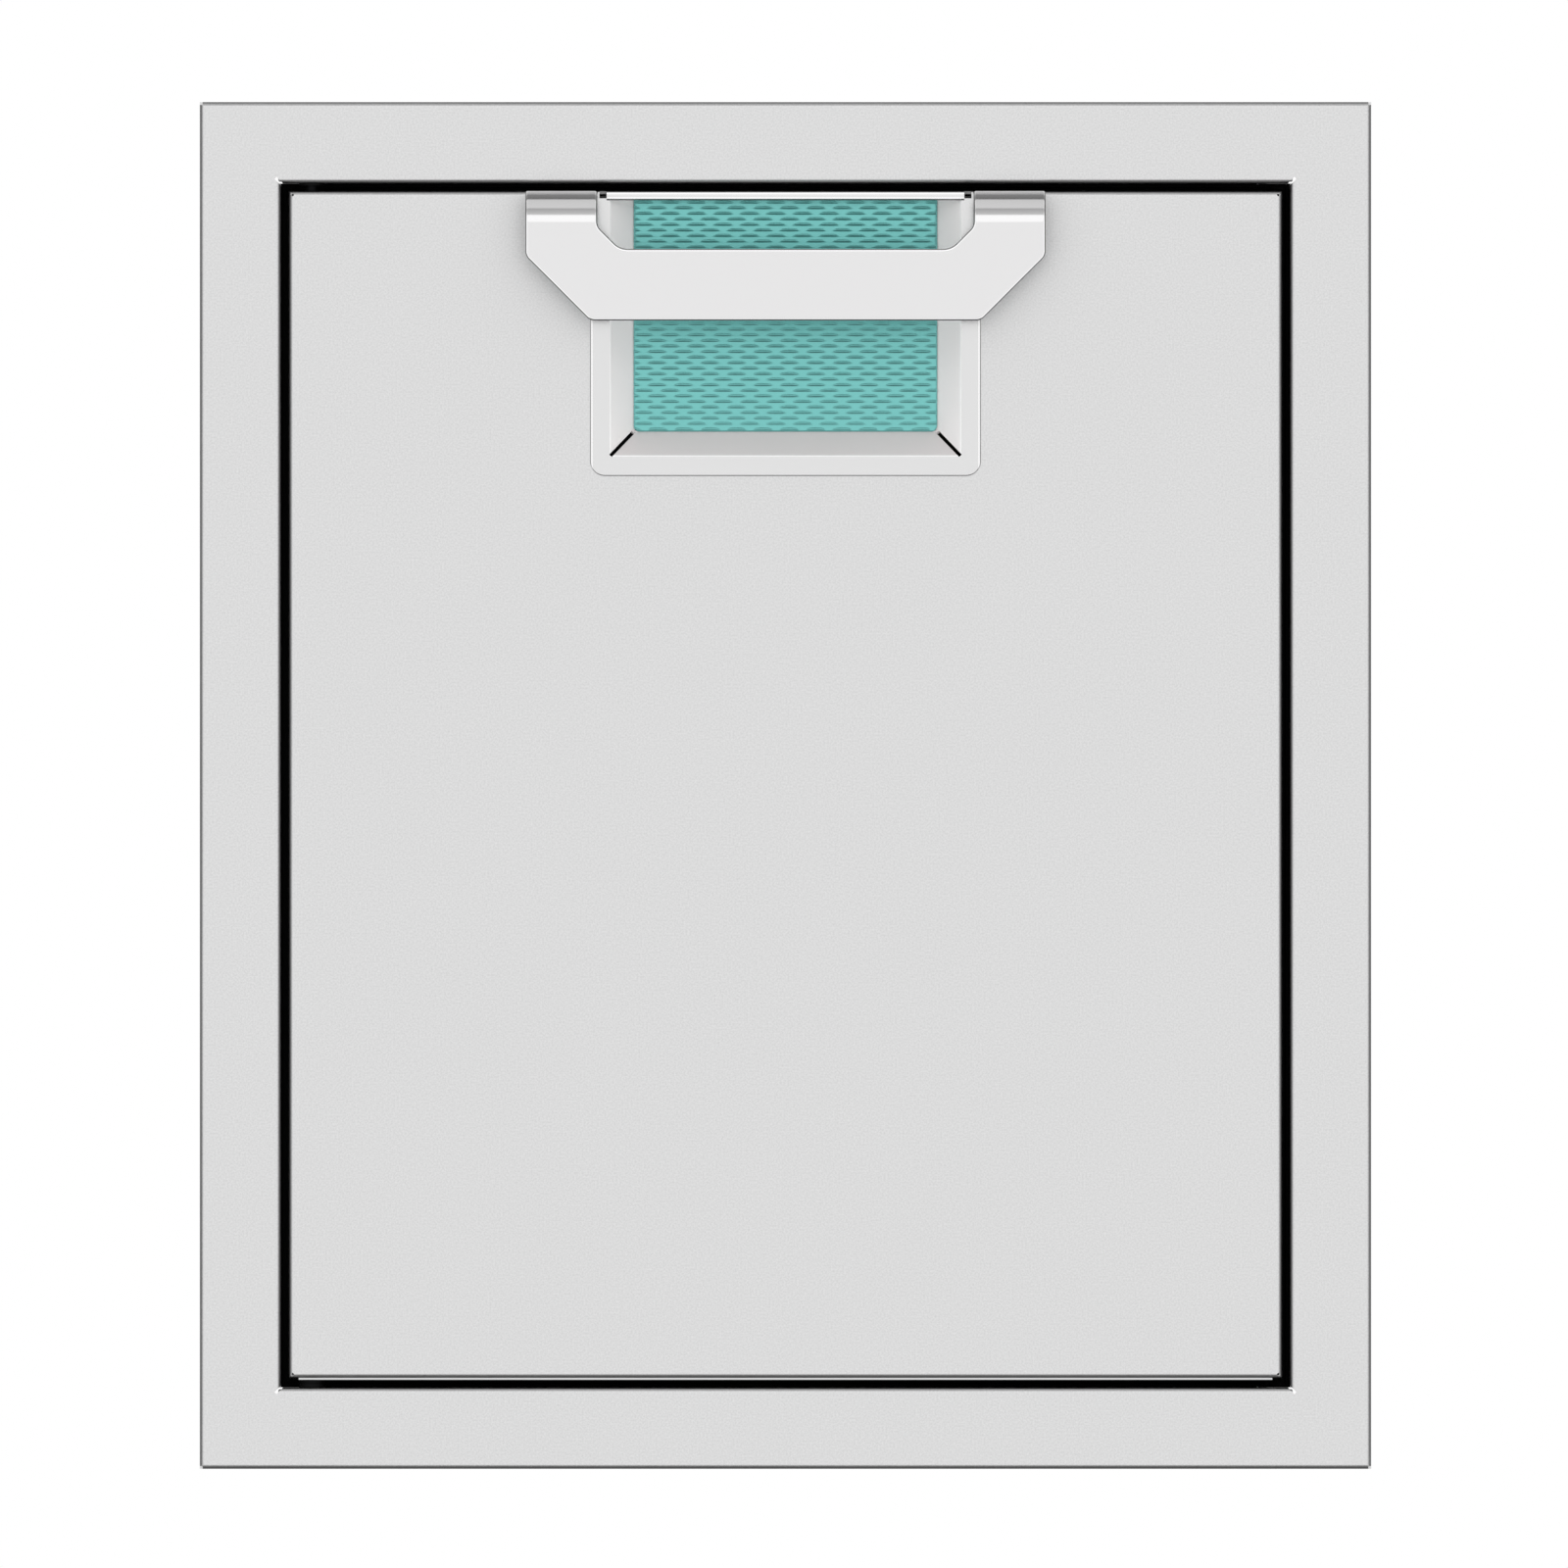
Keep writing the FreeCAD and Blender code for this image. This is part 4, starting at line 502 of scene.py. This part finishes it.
# Liner screws
# Eight stainless countersunk screws with six-lobe sockets hold the liner to the rear lips
# of the pan. Their heads lie flush with it.
SCREW_STEEL_COLOUR = (0.74, 0.74, 0.75)
SCREW_GRAIN = (900.0, 900.0, 900.0)
SCREW_GAP = 0.002
SCREW_EDGE = 0.00015
SCREW_TIP = 0.0006
SCREW_STEPS = 48
SOCKET_SHADE = (0.10, 0.10, 0.105, 1)
SOCKET_RADIUS = 0.00135
SOCKET_DEPTH = 0.0009
SOCKET_FLOOR = (0.05, 0.95)
SOCKET_RINGS = 3
LOBES = 6
LOBE_SHARE = 0.13


def solid_middles(node):
    """Middles of the separate solids of a node. Its points are sorted by height and split
    where a gap shows, and each row is then sorted and split from left to right."""
    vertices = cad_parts[node].data.vertices
    places = np.empty(3 * len(vertices))
    vertices.foreach_get("co", places)

    def split(points, axis):
        points = points[np.argsort(points[:, axis])]
        return np.split(points, np.flatnonzero(np.diff(points[:, axis]) > SCREW_GAP) + 1)

    rows = split(places.reshape(-1, 3), AXIS_Z)
    solids = [solid for row in rows for solid in split(row, AXIS_X)]
    return [(solid.min(axis=0) + solid.max(axis=0)) / 2 for solid in solids]


def write_share(piece, name, shares):
    """Writes a share for each point of a piece to an attribute that its finish reads."""
    attribute = piece.data.attributes.new(name, "FLOAT", "POINT")
    attribute.data.foreach_set("value", shares)


def read_share(tree, name):
    """The share that a piece's attribute holds."""
    node = tree.nodes.new("ShaderNodeAttribute")
    node.attribute_name = name
    return node.outputs["Fac"]


def socket_screws(name, node, body, head, straight, head_height, shank):
    """Screws that look towards +Y. Each is turned: rings of a radius at a depth lie one
    outside the other, from the bottom of the socket over the face and down to the tip. A
    ring's radius is r * (1 + lobe * cos(6 * turn)), with a lobe of 0 outside the socket. The
    attribute socket is 1 on the socket's bottom and walls and 0 elsewhere."""
    low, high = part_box(node)
    length = high.y - low.y
    rings = [
        (SOCKET_RADIUS * SOCKET_FLOOR[0], SOCKET_DEPTH, 0),
        (SOCKET_RADIUS * SOCKET_FLOOR[1], SOCKET_DEPTH, LOBE_SHARE),
        (SOCKET_RADIUS, SCREW_EDGE, LOBE_SHARE),
        (SOCKET_RADIUS + SCREW_EDGE / 2, 0, LOBE_SHARE),
        (head - SCREW_EDGE, 0, 0),
        (head, SCREW_EDGE, 0),
        (head, straight, 0),
        (shank, head_height, 0),
        (shank, length - SCREW_TIP, 0),
        (shank - SCREW_TIP, length, 0),
    ]
    turn = np.linspace(0, 2 * math.pi, SCREW_STEPS, endpoint=False)
    radius, depth, lobe = np.array(rings).T[..., None]
    reach = radius * (1 + lobe * np.cos(LOBES * turn))
    screw = np.stack([reach * np.cos(turn), -depth + 0 * turn, reach * np.sin(turn)], axis=-1)
    middles = np.array(solid_middles(node))
    middles[:, 1] = high.y
    points = (middles[:, None] + screw.reshape(-1, 3)).reshape(-1, 3)
    quads, caps = tube(len(rings), SCREW_STEPS)
    starts = len(rings) * SCREW_STEPS * np.arange(len(middles))
    quads = (quads + starts[:, None, None]).reshape(-1, 4)
    caps = [cap + start for start in starts for cap in caps]
    piece = new_piece(
        name, points, quads, caps, screw_steel, body,
        node=node, soft_degrees=25,
    )
    inside = np.repeat(np.arange(len(rings)) < SOCKET_RINGS, SCREW_STEPS).astype(float)
    write_share(piece, "socket", np.tile(inside, len(middles)))


screw_steel = steel_finish(
    "screw_steel", SCREW_STEEL_COLOUR, roughness=0.26, grain=SCREW_GRAIN, depth=0.03, tone=0.06, bend=0
)
# Painted shade in the sockets: a dark colour on their bottoms and walls.
overlaid(screw_steel, read_share(screw_steel.node_tree, "socket"), SOCKET_SHADE)
liner_screw = {"head": 0.0032, "straight": 0.0002, "head_height": 0.0012, "shank": 0.0020}
socket_screws("liner_fixings", "liner_screws", "door", **liner_screw)
finish_nodes(screw_steel, "screw_steel", "handle_screws")

# Pull tray
# Pressed steel tray let into the door behind the handle: a flat satin bezel, three sloping
# walls that meet in open seams, and a rolled lip on top. The pocket is blasted to a soft
# matt with painted shade on its upward faces and floor, a painted white highlight on the bend at its
# mouth, and a painted highlight on the lip.
TRAY_COLOUR = (0.752, 0.752, 0.753)
TRAY_SHEET = 0.001
TRAY_BEZEL = 0.009
TRAY_RIM_HIGHLIGHT = (0.0008, 0.0003)
POCKET_COLOUR = (0.99, 0.955, 0.955, 1)
POCKET_SHADE = (0.70, 0.66, 0.66, 1)
POCKET_ROUGHNESS = 0.55
POCKET_START = 0.00024
POCKET_FADE = 0.0001
MOUTH_START = 0.00001
FLOOR_FACING = -0.8
LIP_HIGHLIGHT_COLOUR = (0.98, 0.975, 0.978, 1)


def tray_finish():
    """Satin steel with a painted highlight on the lip and in a band along the bezel's sides,
    a painted white highlight on the bend just behind its face, inside the bezel's edges, and
    matt further behind. The amount of painted shade is the upward share of the surface's
    normal, and full on the tray's floor."""
    material = steel_finish("tray_steel", TRAY_COLOUR, roughness=0.16, depth=0.04, tone=0.03)
    tree = material.node_tree
    surface = tree.nodes["Principled BSDF"].inputs
    low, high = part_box("pull_tray")
    place = parts_of(tree, coordinate(tree, "Object"))
    normal = parts_of(tree, coordinate(tree, "Normal"))
    sides = math_node(tree, "ABSOLUTE", place["X"])
    depth = math_node(tree, "SUBTRACT", place["Y"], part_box("door_skin")[0].y - TRAY_SHEET)
    proud = math_node(tree, "LESS_THAN", depth, -POCKET_FADE)
    rim = math_node(tree, "COMPARE", sides, high.x - TRAY_RIM_HIGHLIGHT[0], TRAY_RIM_HIGHLIGHT[1])
    # Painted highlight on the lip and along the bezel's sides.
    overlaid(material, math_node(tree, "MAXIMUM", proud, rim), LIP_HIGHLIGHT_COLOUR)
    within = math_node(tree, "LESS_THAN", sides, high.x - TRAY_BEZEL / 2)
    over = math_node(tree, "GREATER_THAN", place["Z"], low.z + TRAY_BEZEL / 2)
    behind = math_node(tree, "GREATER_THAN", depth, MOUTH_START)
    mouth = math_node(tree, "MULTIPLY", behind, math_node(tree, "MULTIPLY", within, over))
    on_floor = math_node(tree, "LESS_THAN", normal["Y"], FLOOR_FACING)
    # Painted shade on upward faces and on the tray's floor.
    pocket_shade_share = math_node(tree, "MAXIMUM", normal["Z"], on_floor)
    deep = ranged(tree, depth, POCKET_START, POCKET_START + POCKET_FADE)
    blasted_and_shaded = mixed(tree, "RGBA", pocket_shade_share, POCKET_COLOUR, POCKET_SHADE)
    # Painted white highlight on the mouth's bend, then the matt colour with its painted shade.
    overlaid(material, mouth, mixed(tree, "RGBA", deep, WHITE, blasted_and_shaded))
    gloss = surface["Roughness"].links[0].from_socket
    linked(tree, surface["Roughness"], mixed(tree, "FLOAT", mouth, gloss, POCKET_ROUGHNESS))
    linked(tree, surface["Metallic"], math_node(tree, "SUBTRACT", 1.0, mouth))
    return material


finish_nodes(tray_finish(), "tray_steel", "pull_tray")

# Tray insert
# Turquoise coated aluminium sheet on the floor of the tray, embossed with rows of low
# bumps, flat below and arched above. Each row is moved half a step against the next.
TURQUOISE = (0.200, 0.565, 0.541)
ROW_PITCH = 0.00243
COLUMN_PITCH = 0.0117
COLUMN_STEPS = 13
PATTERN_START = 0.0017
BUMP_HALF_LENGTH = 0.0044
BUMP_BASE = 0.00055
BUMP_SAG = 0.00015
BUMP_ARCH = 0.00135
BUMP_TIP = 0.2
BUMP_RISE = 0.00036
LOWER_SLOPE = 0.60
UPPER_SLOPE = 0.30
BUMP_LINES = (-0.07, 0.0, 0.1, 0.2, 0.3, 0.4, 0.5, 0.6, 0.7, 0.8, 0.9, 1.0, 1.08)
INSERT_CORNER = 0.0024
INSERT_EDGE = 0.0006
EDGE_LINES = (0.0, 0.25, 0.5, 0.75)


def ease(t):
    """Smooth step 3 t^2 - 2 t^3, with t held between 0 and 1."""
    t = np.clip(t, 0, 1)
    return t * t * (3 - 2 * t)


def embossed_insert():
    """Sheet with a grid as its front. On a bump e = 1 - (u / a)^3, where u is the distance
    from its middle. Its lower edge lies sag * e below the base line, it is as wide as
    (sag + arch) * sqrt(e), and s runs from 0 at that edge to 1 at the upper one. Its height
    is rise * e * ease(s / lower) * ease((1 - s) / upper). The lines of the grid follow the
    edges of the bumps. The sheet's own edges are rolled back, and its lower corners are
    quarter circles."""
    low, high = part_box("pull_insert")
    # The grid's columns, and how far each lies from the middle of a bump of its row
    row_count = round((high.z - low.z) / ROW_PITCH)
    pitch = (high.z - low.z) / row_count
    steps = round((high.x - low.x) / COLUMN_PITCH * COLUMN_STEPS)
    side = np.array(EDGE_LINES) * INSERT_EDGE
    inner = np.linspace(low.x + INSERT_EDGE, high.x - INSERT_EDGE, steps)
    across = np.concatenate([low.x + side, inner, (high.x - side)[::-1]])
    row = np.arange(row_count)[:, None, None]
    shifted = across - PATTERN_START + COLUMN_PITCH / 2 * (row % 2)
    u = np.abs(shifted - COLUMN_PITCH * np.round(shifted / COLUMN_PITCH))
    e = np.clip(1 - (u / BUMP_HALF_LENGTH) ** 3, 0, 1)
    # The places and heights of the grid's lines, with a flat line below each row
    lower_edge = BUMP_BASE - BUMP_SAG * e
    s = np.array(BUMP_LINES)[:, None]
    on_bump = lower_edge + s * (BUMP_SAG + BUMP_ARCH) * np.maximum(np.sqrt(e), BUMP_TIP)
    rise = BUMP_RISE * e * ease(s / LOWER_SLOPE) * ease((1 - s) / UPPER_SLOPE)
    z = np.concatenate([0 * e, on_bump], axis=1) + row * pitch
    bump = np.concatenate([0 * e, rise], axis=1)
    z = np.concatenate([z.reshape(-1, len(across)), np.full((1, len(across)), high.z - low.z)])
    bump = np.concatenate([bump.reshape(-1, len(across)), np.zeros((1, len(across)))])
    # The rolled edges and the round lower corners
    inset = np.clip(INSERT_CORNER - z, 0, None)
    half = high.x - INSERT_CORNER + np.sqrt(INSERT_CORNER**2 - inset**2)
    roll = ease((high.x - np.abs(across)) / INSERT_EDGE) * ease(z / INSERT_EDGE)
    y = low.y + BUMP_RISE - bump + BUMP_RISE * (1 - roll)
    front = np.stack([across / high.x * half, y, low.z + z], axis=-1).reshape(-1, 3)
    # The faces of the front, and walls from its rim to the flat back
    rows, columns = z.shape
    index = np.arange(rows * columns).reshape(rows, columns)
    corners = [index[:-1, :-1], index[:-1, 1:], index[1:, 1:], index[1:, :-1]]
    rim = np.concatenate([index[0], index[1:, -1], index[-1, -2::-1], index[-2:0:-1, 0]])
    back = front[rim]
    back[:, 1] = high.y
    behind = len(front) + np.arange(len(rim))
    walls = [rim, behind, np.roll(behind, -1), np.roll(rim, -1)]
    quads = np.concatenate([np.stack(corners, axis=-1).reshape(-1, 4), np.stack(walls, axis=-1)])
    points = np.concatenate([front, back])
    new_piece(
        "embossed_insert", points, quads, [behind], turquoise, "door",
        node="pull_insert", soft_degrees=70,
    )


turquoise = steel_finish(
    "insert_turquoise", TURQUOISE, roughness=0.30, grain=SCREW_GRAIN, depth=0.02, tone=0.05, bend=0
)
embossed_insert()

# Handle
# One 5 mm plate of polished stainless steel. The front is a bar with two arms, its corners
# cut at 45 degrees. The arms bend back to the door and end in feet that are screwed on.
HANDLE_COLOUR = (0.80, 0.795, 0.798)
HANDLE_STRIP = 0.0316
HANDLE_PLATE = 0.005
FRONT_BEND = 0.0143
REAR_BEND = 0.007
HANDLE_FOOT = 0.026
OUTER_CHAMFER = 0.0286
INNER_CHAMFER = 0.010
OUTER_FILLET = 0.0052
INNER_FILLETS = (0.0089, 0.0055)
EDGE_INSET = 0.0010
EDGE_DROP = 0.0007
EDGE_FLAT = 0.0015
EDGE_STEPS = 8
EDGE_HIGHLIGHT = (0.02, 0.06, WHITE)
EDGE_SHADE = (0.27, 0.34, (0.30, 0.30, 0.30, 1))
FILLET_STEPS = 10
ARM_STEPS = 71

handle_low, handle_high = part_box("handle")
front_rise = handle_high.z - handle_low.z - FRONT_BEND
arm_run = handle_high.y - handle_low.y - FRONT_BEND - REAR_BEND


def fillet(before, corner, after, radius):
    """Arc that rounds a corner of the flat plate. For a turn t it starts at
    radius * tan(t / 2) before the corner, and its points are that start plus
    radius * sin(angle) along the way in and radius * (1 - cos(angle)) to the inside."""
    before, corner, after = np.array(before), np.array(corner), np.array(after)
    way_in = (corner - before) / np.linalg.norm(corner - before)
    way_out = (after - corner) / np.linalg.norm(after - corner)
    turn = math.acos(way_in @ way_out)
    inside = (way_out - math.cos(turn) * way_in) / math.sin(turn)
    angle = np.linspace(0, turn, FILLET_STEPS + 1)[:, None]
    start = corner - radius * math.tan(turn / 2) * way_in
    return start + radius * (np.sin(angle) * way_in + (1 - np.cos(angle)) * inside)


def bent_place(x, s, t):
    """Place of a point of the flat plate: x across, s along its outside and t below it. A
    bend of radius r turns the heading h by (s - start) / r, and the point is the outside
    line's place moved by t against the outward direction (-cos h, sin h) in Y and Z."""
    quarter = math.pi / 2
    stops = np.cumsum([front_rise, FRONT_BEND * quarter, arm_run, REAR_BEND * quarter])
    front = np.clip((s - stops[0]) / FRONT_BEND, 0, quarter)
    rear = np.clip((s - stops[2]) / REAR_BEND, 0, quarter)
    y = handle_low.y + FRONT_BEND * (1 - np.cos(front)) + REAR_BEND * np.sin(rear)
    y = y + np.clip(s - stops[1], 0, arm_run)
    z = handle_low.z + FRONT_BEND * np.sin(front) - REAR_BEND * (1 - np.cos(rear))
    z = z + np.clip(s, 0, front_rise) - np.clip(s - stops[3], 0, None)
    heading = front + rear
    return np.stack([x, y + t * np.cos(heading), z - t * np.sin(heading)], axis=-1)


def handle_edges():
    """The outer and the inner edge line of one half of the flat plate, from the middle of
    the bar to the end of the foot, with as many points each, so that pairs make rings."""
    bends = (FRONT_BEND + REAR_BEND) * math.pi / 2
    end = front_rise + bends + arm_run + HANDLE_FOOT - REAR_BEND
    out_x = handle_high.x
    in_x = out_x - HANDLE_STRIP
    outer_corners = [(0, 0), (out_x - OUTER_CHAMFER, 0), (out_x, OUTER_CHAMFER), (out_x, end)]
    inner_start = (in_x - INNER_CHAMFER, HANDLE_STRIP)
    inner_corners = [(0, HANDLE_STRIP), inner_start, (in_x, HANDLE_STRIP + INNER_CHAMFER), (in_x, end)]
    outer_arcs = [fillet(*outer_corners[i : i + 3], OUTER_FILLET) for i in (0, 1)]
    inner_arcs = [fillet(*inner_corners[i : i + 3], INNER_FILLETS[i]) for i in (0, 1)]
    between = np.linspace(inner_arcs[0][-1], inner_arcs[1][0], FILLET_STEPS + 3)[1:-1]
    beside = np.stack([np.full(FILLET_STEPS + 1, out_x), inner_arcs[1][:, 1]], axis=1)
    along = np.linspace(inner_arcs[1][-1, 1], end, ARM_STEPS + 1)[1:]
    outer_run = np.stack([np.full_like(along, out_x), along], axis=1)
    inner_run = np.stack([np.full_like(along, in_x), along], axis=1)
    outer = np.concatenate([[outer_corners[0]], *outer_arcs, beside, outer_run])
    inner = np.concatenate([[inner_corners[0]], inner_arcs[0], between, inner_arcs[1], inner_run])
    return outer, inner


def plate_handle():
    """Plate with rounded edges. A ring runs round its section: from the outer edge over the
    front to the inner edge and back behind. A ring's point lies inwards of an edge line
    by a * (1 - cos q) and below the outside by b * (1 - sin q), for q from 0 to 90
    degrees. The rings follow the two edge lines and are then bent. The attribute edge
    holds how far the surface is turned to the side, from 0 on the faces to 1."""
    edge_lines = handle_edges()
    q = np.linspace(0, math.pi / 2, EDGE_STEPS + 1)
    inset = np.append(EDGE_INSET * (1 - np.cos(q)), EDGE_FLAT)
    below = np.append(EDGE_DROP * (1 - np.sin(q)), 0)
    turned = np.append(np.arctan2(np.cos(q) / EDGE_INSET, np.sin(q) / EDGE_DROP) / (math.pi / 2), 0)
    shifted = []
    for line, way in zip(edge_lines, (1, -1)):
        step = np.gradient(line, axis=0)
        step = step / np.linalg.norm(step, axis=1, keepdims=True)
        inward = np.stack([way * -step[:, 1], way * step[:, 0]], axis=1)
        shifted.append(line[:, None] + inset[:, None] * inward[:, None])
    outer, inner = shifted
    flat = np.concatenate([outer, inner[:, ::-1], inner, outer[:, ::-1]], axis=1)
    depth = np.concatenate([below, below[::-1], HANDLE_PLATE - below, HANDLE_PLATE - below[::-1]])
    half = bent_place(flat[..., 0], flat[..., 1], depth)
    other = half[:0:-1] * np.array([-1, 1, 1])
    rings = np.concatenate([other, half])
    quads, caps = tube(len(rings), len(depth))
    piece = new_piece(
        "bent_plate_handle", rings.reshape(-1, 3), quads, caps, handle_steel, "door",
        node="handle", soft_degrees=50,
    )
    edge = np.concatenate([turned, turned[::-1], turned, turned[::-1]])
    write_share(piece, "edge", np.tile(edge, len(rings)))


def handle_finish():
    """Polished steel with a painted highlight on the rounding of the edges and painted shade
    on the sides of the plate, as the attribute edge rises from 0 to 1."""
    material = steel_finish(
        "handle_steel", HANDLE_COLOUR, roughness=0.12, depth=0.02, tone=0.02, bend=0
    )
    edge = read_share(material.node_tree, "edge")
    # Painted highlight, then painted shade, as the edge share rises.
    for start, stop, colour in (EDGE_HIGHLIGHT, EDGE_SHADE):
        overlaid(material, ranged(material.node_tree, edge, start, stop), colour)
    return material


handle_steel = handle_finish()
plate_handle()

# Tray lip
# The tray's upper edge is rolled forward into a polished lip, which hangs a little over
# the pocket and, like the handle, has a painted highlight on its rounded edges and painted shade under
# its lower edge.
LIP_LENGTH = 0.158
LIP_COVER = 0.00005
LIP_HEIGHT = 0.0037
LIP_SHEET = 0.00122
LIP_ROLL = 0.0007
LIP_EDGE = 0.0010
LIP_RIM = 0.0005
LIP_HIGHLIGHT_SHARE = 0.15
LIP_STEPS = 10


def rolled_lip():
    """Bar along X. Its section has two rounded corners in front: for q from 0 to 90 degrees
    the upper one lies at roll * (1 - sin q) behind the front and roll * (1 - cos q) below
    the top, and the lower one at edge * (1 - cos q) behind the front and
    edge * (1 - sin q) above the bottom. The attribute edge, which paints highlight and shade
    through the handle's finish, is q / 90 on the lower one, at least a small share on both, and 0 on
    the face from a rim's width away."""
    low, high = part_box("pull_tray")
    front, top = low.y - LIP_COVER, high.z + LIP_COVER
    back, bottom = front + LIP_SHEET, high.z - LIP_HEIGHT
    q = np.linspace(0, math.pi / 2, LIP_STEPS + 1)
    upper_y, upper_z = front + LIP_ROLL * (1 - np.sin(q)), top - LIP_ROLL * (1 - np.cos(q))
    lower_y, lower_z = front + LIP_EDGE * (1 - np.cos(q)), bottom + LIP_EDGE * (1 - np.sin(q))
    face_z = [upper_z[-1] - LIP_RIM, lower_z[0] + LIP_RIM]
    y = np.concatenate([[back], upper_y, [front, front], lower_y, [back]])
    z = np.concatenate([[top], upper_z, face_z, lower_z, [bottom]])
    ends = np.array([[-LIP_LENGTH / 2], [LIP_LENGTH / 2]])
    rings = np.stack(np.broadcast_arrays(ends, y, z), axis=-1)
    quads, caps = tube(2, len(y))
    piece = new_piece(
        "rolled_lip", rings.reshape(-1, 3), quads, caps, handle_steel, "door"
    )
    above = np.full(len(upper_y) + 1, LIP_HIGHLIGHT_SHARE)
    edge = np.concatenate([above, [0, 0], np.maximum(q / (math.pi / 2), LIP_HIGHLIGHT_SHARE), [1]])
    write_share(piece, "edge", np.tile(edge, 2))


rolled_lip()

# Hinge parts
# Black oxide pin plates and pins, a clip of spring steel, nylon bushes and a nylon washer.
# The thumb lever, the pivot blocks in the door and the seat of the spring are zinc plated.
BLACK_OXIDE = (0.010, 0.010, 0.011)
PIN_NODES = ("upper_pin_plate", "lower_pin_plate", "upper_hinge_pin", "lower_hinge_pin")
BLOCK_NODES = ("pin_lever", "lower_pivot_block", "upper_pivot_block", "spring_seat")
NYLON_NODES = ("upper_frame_bush", "lower_pivot_bush", "lower_thrust_washer")

black_oxide = steel_finish(
    "hinge_black", BLACK_OXIDE, roughness=0.50, grain=SCREW_GRAIN, depth=0.05, tone=0.30, bend=0
)
spring_steel = steel_finish(
    "spring_steel", SCREW_STEEL_COLOUR, roughness=0.24, grain=SCREW_GRAIN, depth=0.02, tone=0.06, bend=0
)
bush_nylon = moulded_black("bush_nylon", level=0.003, roughness=0.60, scale=3000.0, depth=0.2)
finish_nodes(black_oxide, "hinge_black", *PIN_NODES)
finish_nodes(inner_zinc, "inner_zinc", *BLOCK_NODES)
finish_nodes(spring_steel, "spring_steel", "pin_clip")
finish_nodes(bush_nylon, "bush_nylon", *NYLON_NODES)

# Pin spring
# Coil of round stainless wire that pushes the upper hinge pin up. Its end turns lie close,
# and it shortens towards its seat when the thumb lever is pushed down.
SPRING_WIRE = 0.001
SPRING_TURNS = 6
TURN_STEPS = 28
WIRE_STEPS = 12


def coil_spring():
    """Helix of round wire. After a number of turns its height is the wire's radius plus
    one wire for the first turn, an even rise, and one wire for the last. A ring's point is
    the helix point plus the wire's radius times cosine outwards and sine upwards."""
    low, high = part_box("pin_spring")
    middle = (low + high) / 2
    turns = np.linspace(0, SPRING_TURNS, SPRING_TURNS * TURN_STEPS + 1)
    lift = high.z - low.z - SPRING_WIRE
    knees = [0, 1, SPRING_TURNS - 1, SPRING_TURNS]
    climb = np.interp(turns, knees, [0, SPRING_WIRE, lift - SPRING_WIRE, lift])
    angle = 2 * math.pi * turns[:, None]
    round_wire = np.linspace(0, 2 * math.pi, WIRE_STEPS, endpoint=False)
    reach = (high.x - low.x - SPRING_WIRE) / 2 + SPRING_WIRE / 2 * np.cos(round_wire)
    x = middle.x + reach * np.cos(angle)
    y = middle.y + reach * np.sin(angle)
    z = low.z + SPRING_WIRE / 2 + climb[:, None] + SPRING_WIRE / 2 * np.sin(round_wire)
    quads, caps = tube(len(turns), WIRE_STEPS)
    points = np.stack([x, y, z], axis=-1).reshape(-1, 3)
    piece = new_piece(
        "coil_spring", points, quads, caps, spring_steel, "door",
        node="pin_spring", soft_degrees=60,
    )
    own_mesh(piece)


coil_spring()

# Catches and strikes
# Two magnetic catches on zinc plated brackets behind the latch side: a magnet between two
# pole plates in a black housing, with screws at the rear, and a riveted strike on the door.
catch_black = moulded_black("catch_black", level=0.02, roughness=0.50, scale=3000.0, depth=0.4)
magnet_dark = moulded_black("magnet_dark", level=0.05, roughness=0.40, scale=4000.0, depth=0.2)
finish_nodes(catch_black, "catch_black", "catch_housings")
finish_nodes(magnet_dark, "magnet_dark", "catch_magnets")
finish_nodes(inner_zinc, "inner_zinc", "catch_pole_plates", "catch_brackets", "strike_plates")
finish_nodes(screw_steel, "screw_steel", "strike_rivets")
catch_screw = {"head": 0.0032, "straight": 0.0018, "head_height": 0.0018, "shank": 0.00175}
socket_screws("catch_fixings", "catch_screws", "frame", **catch_screw)
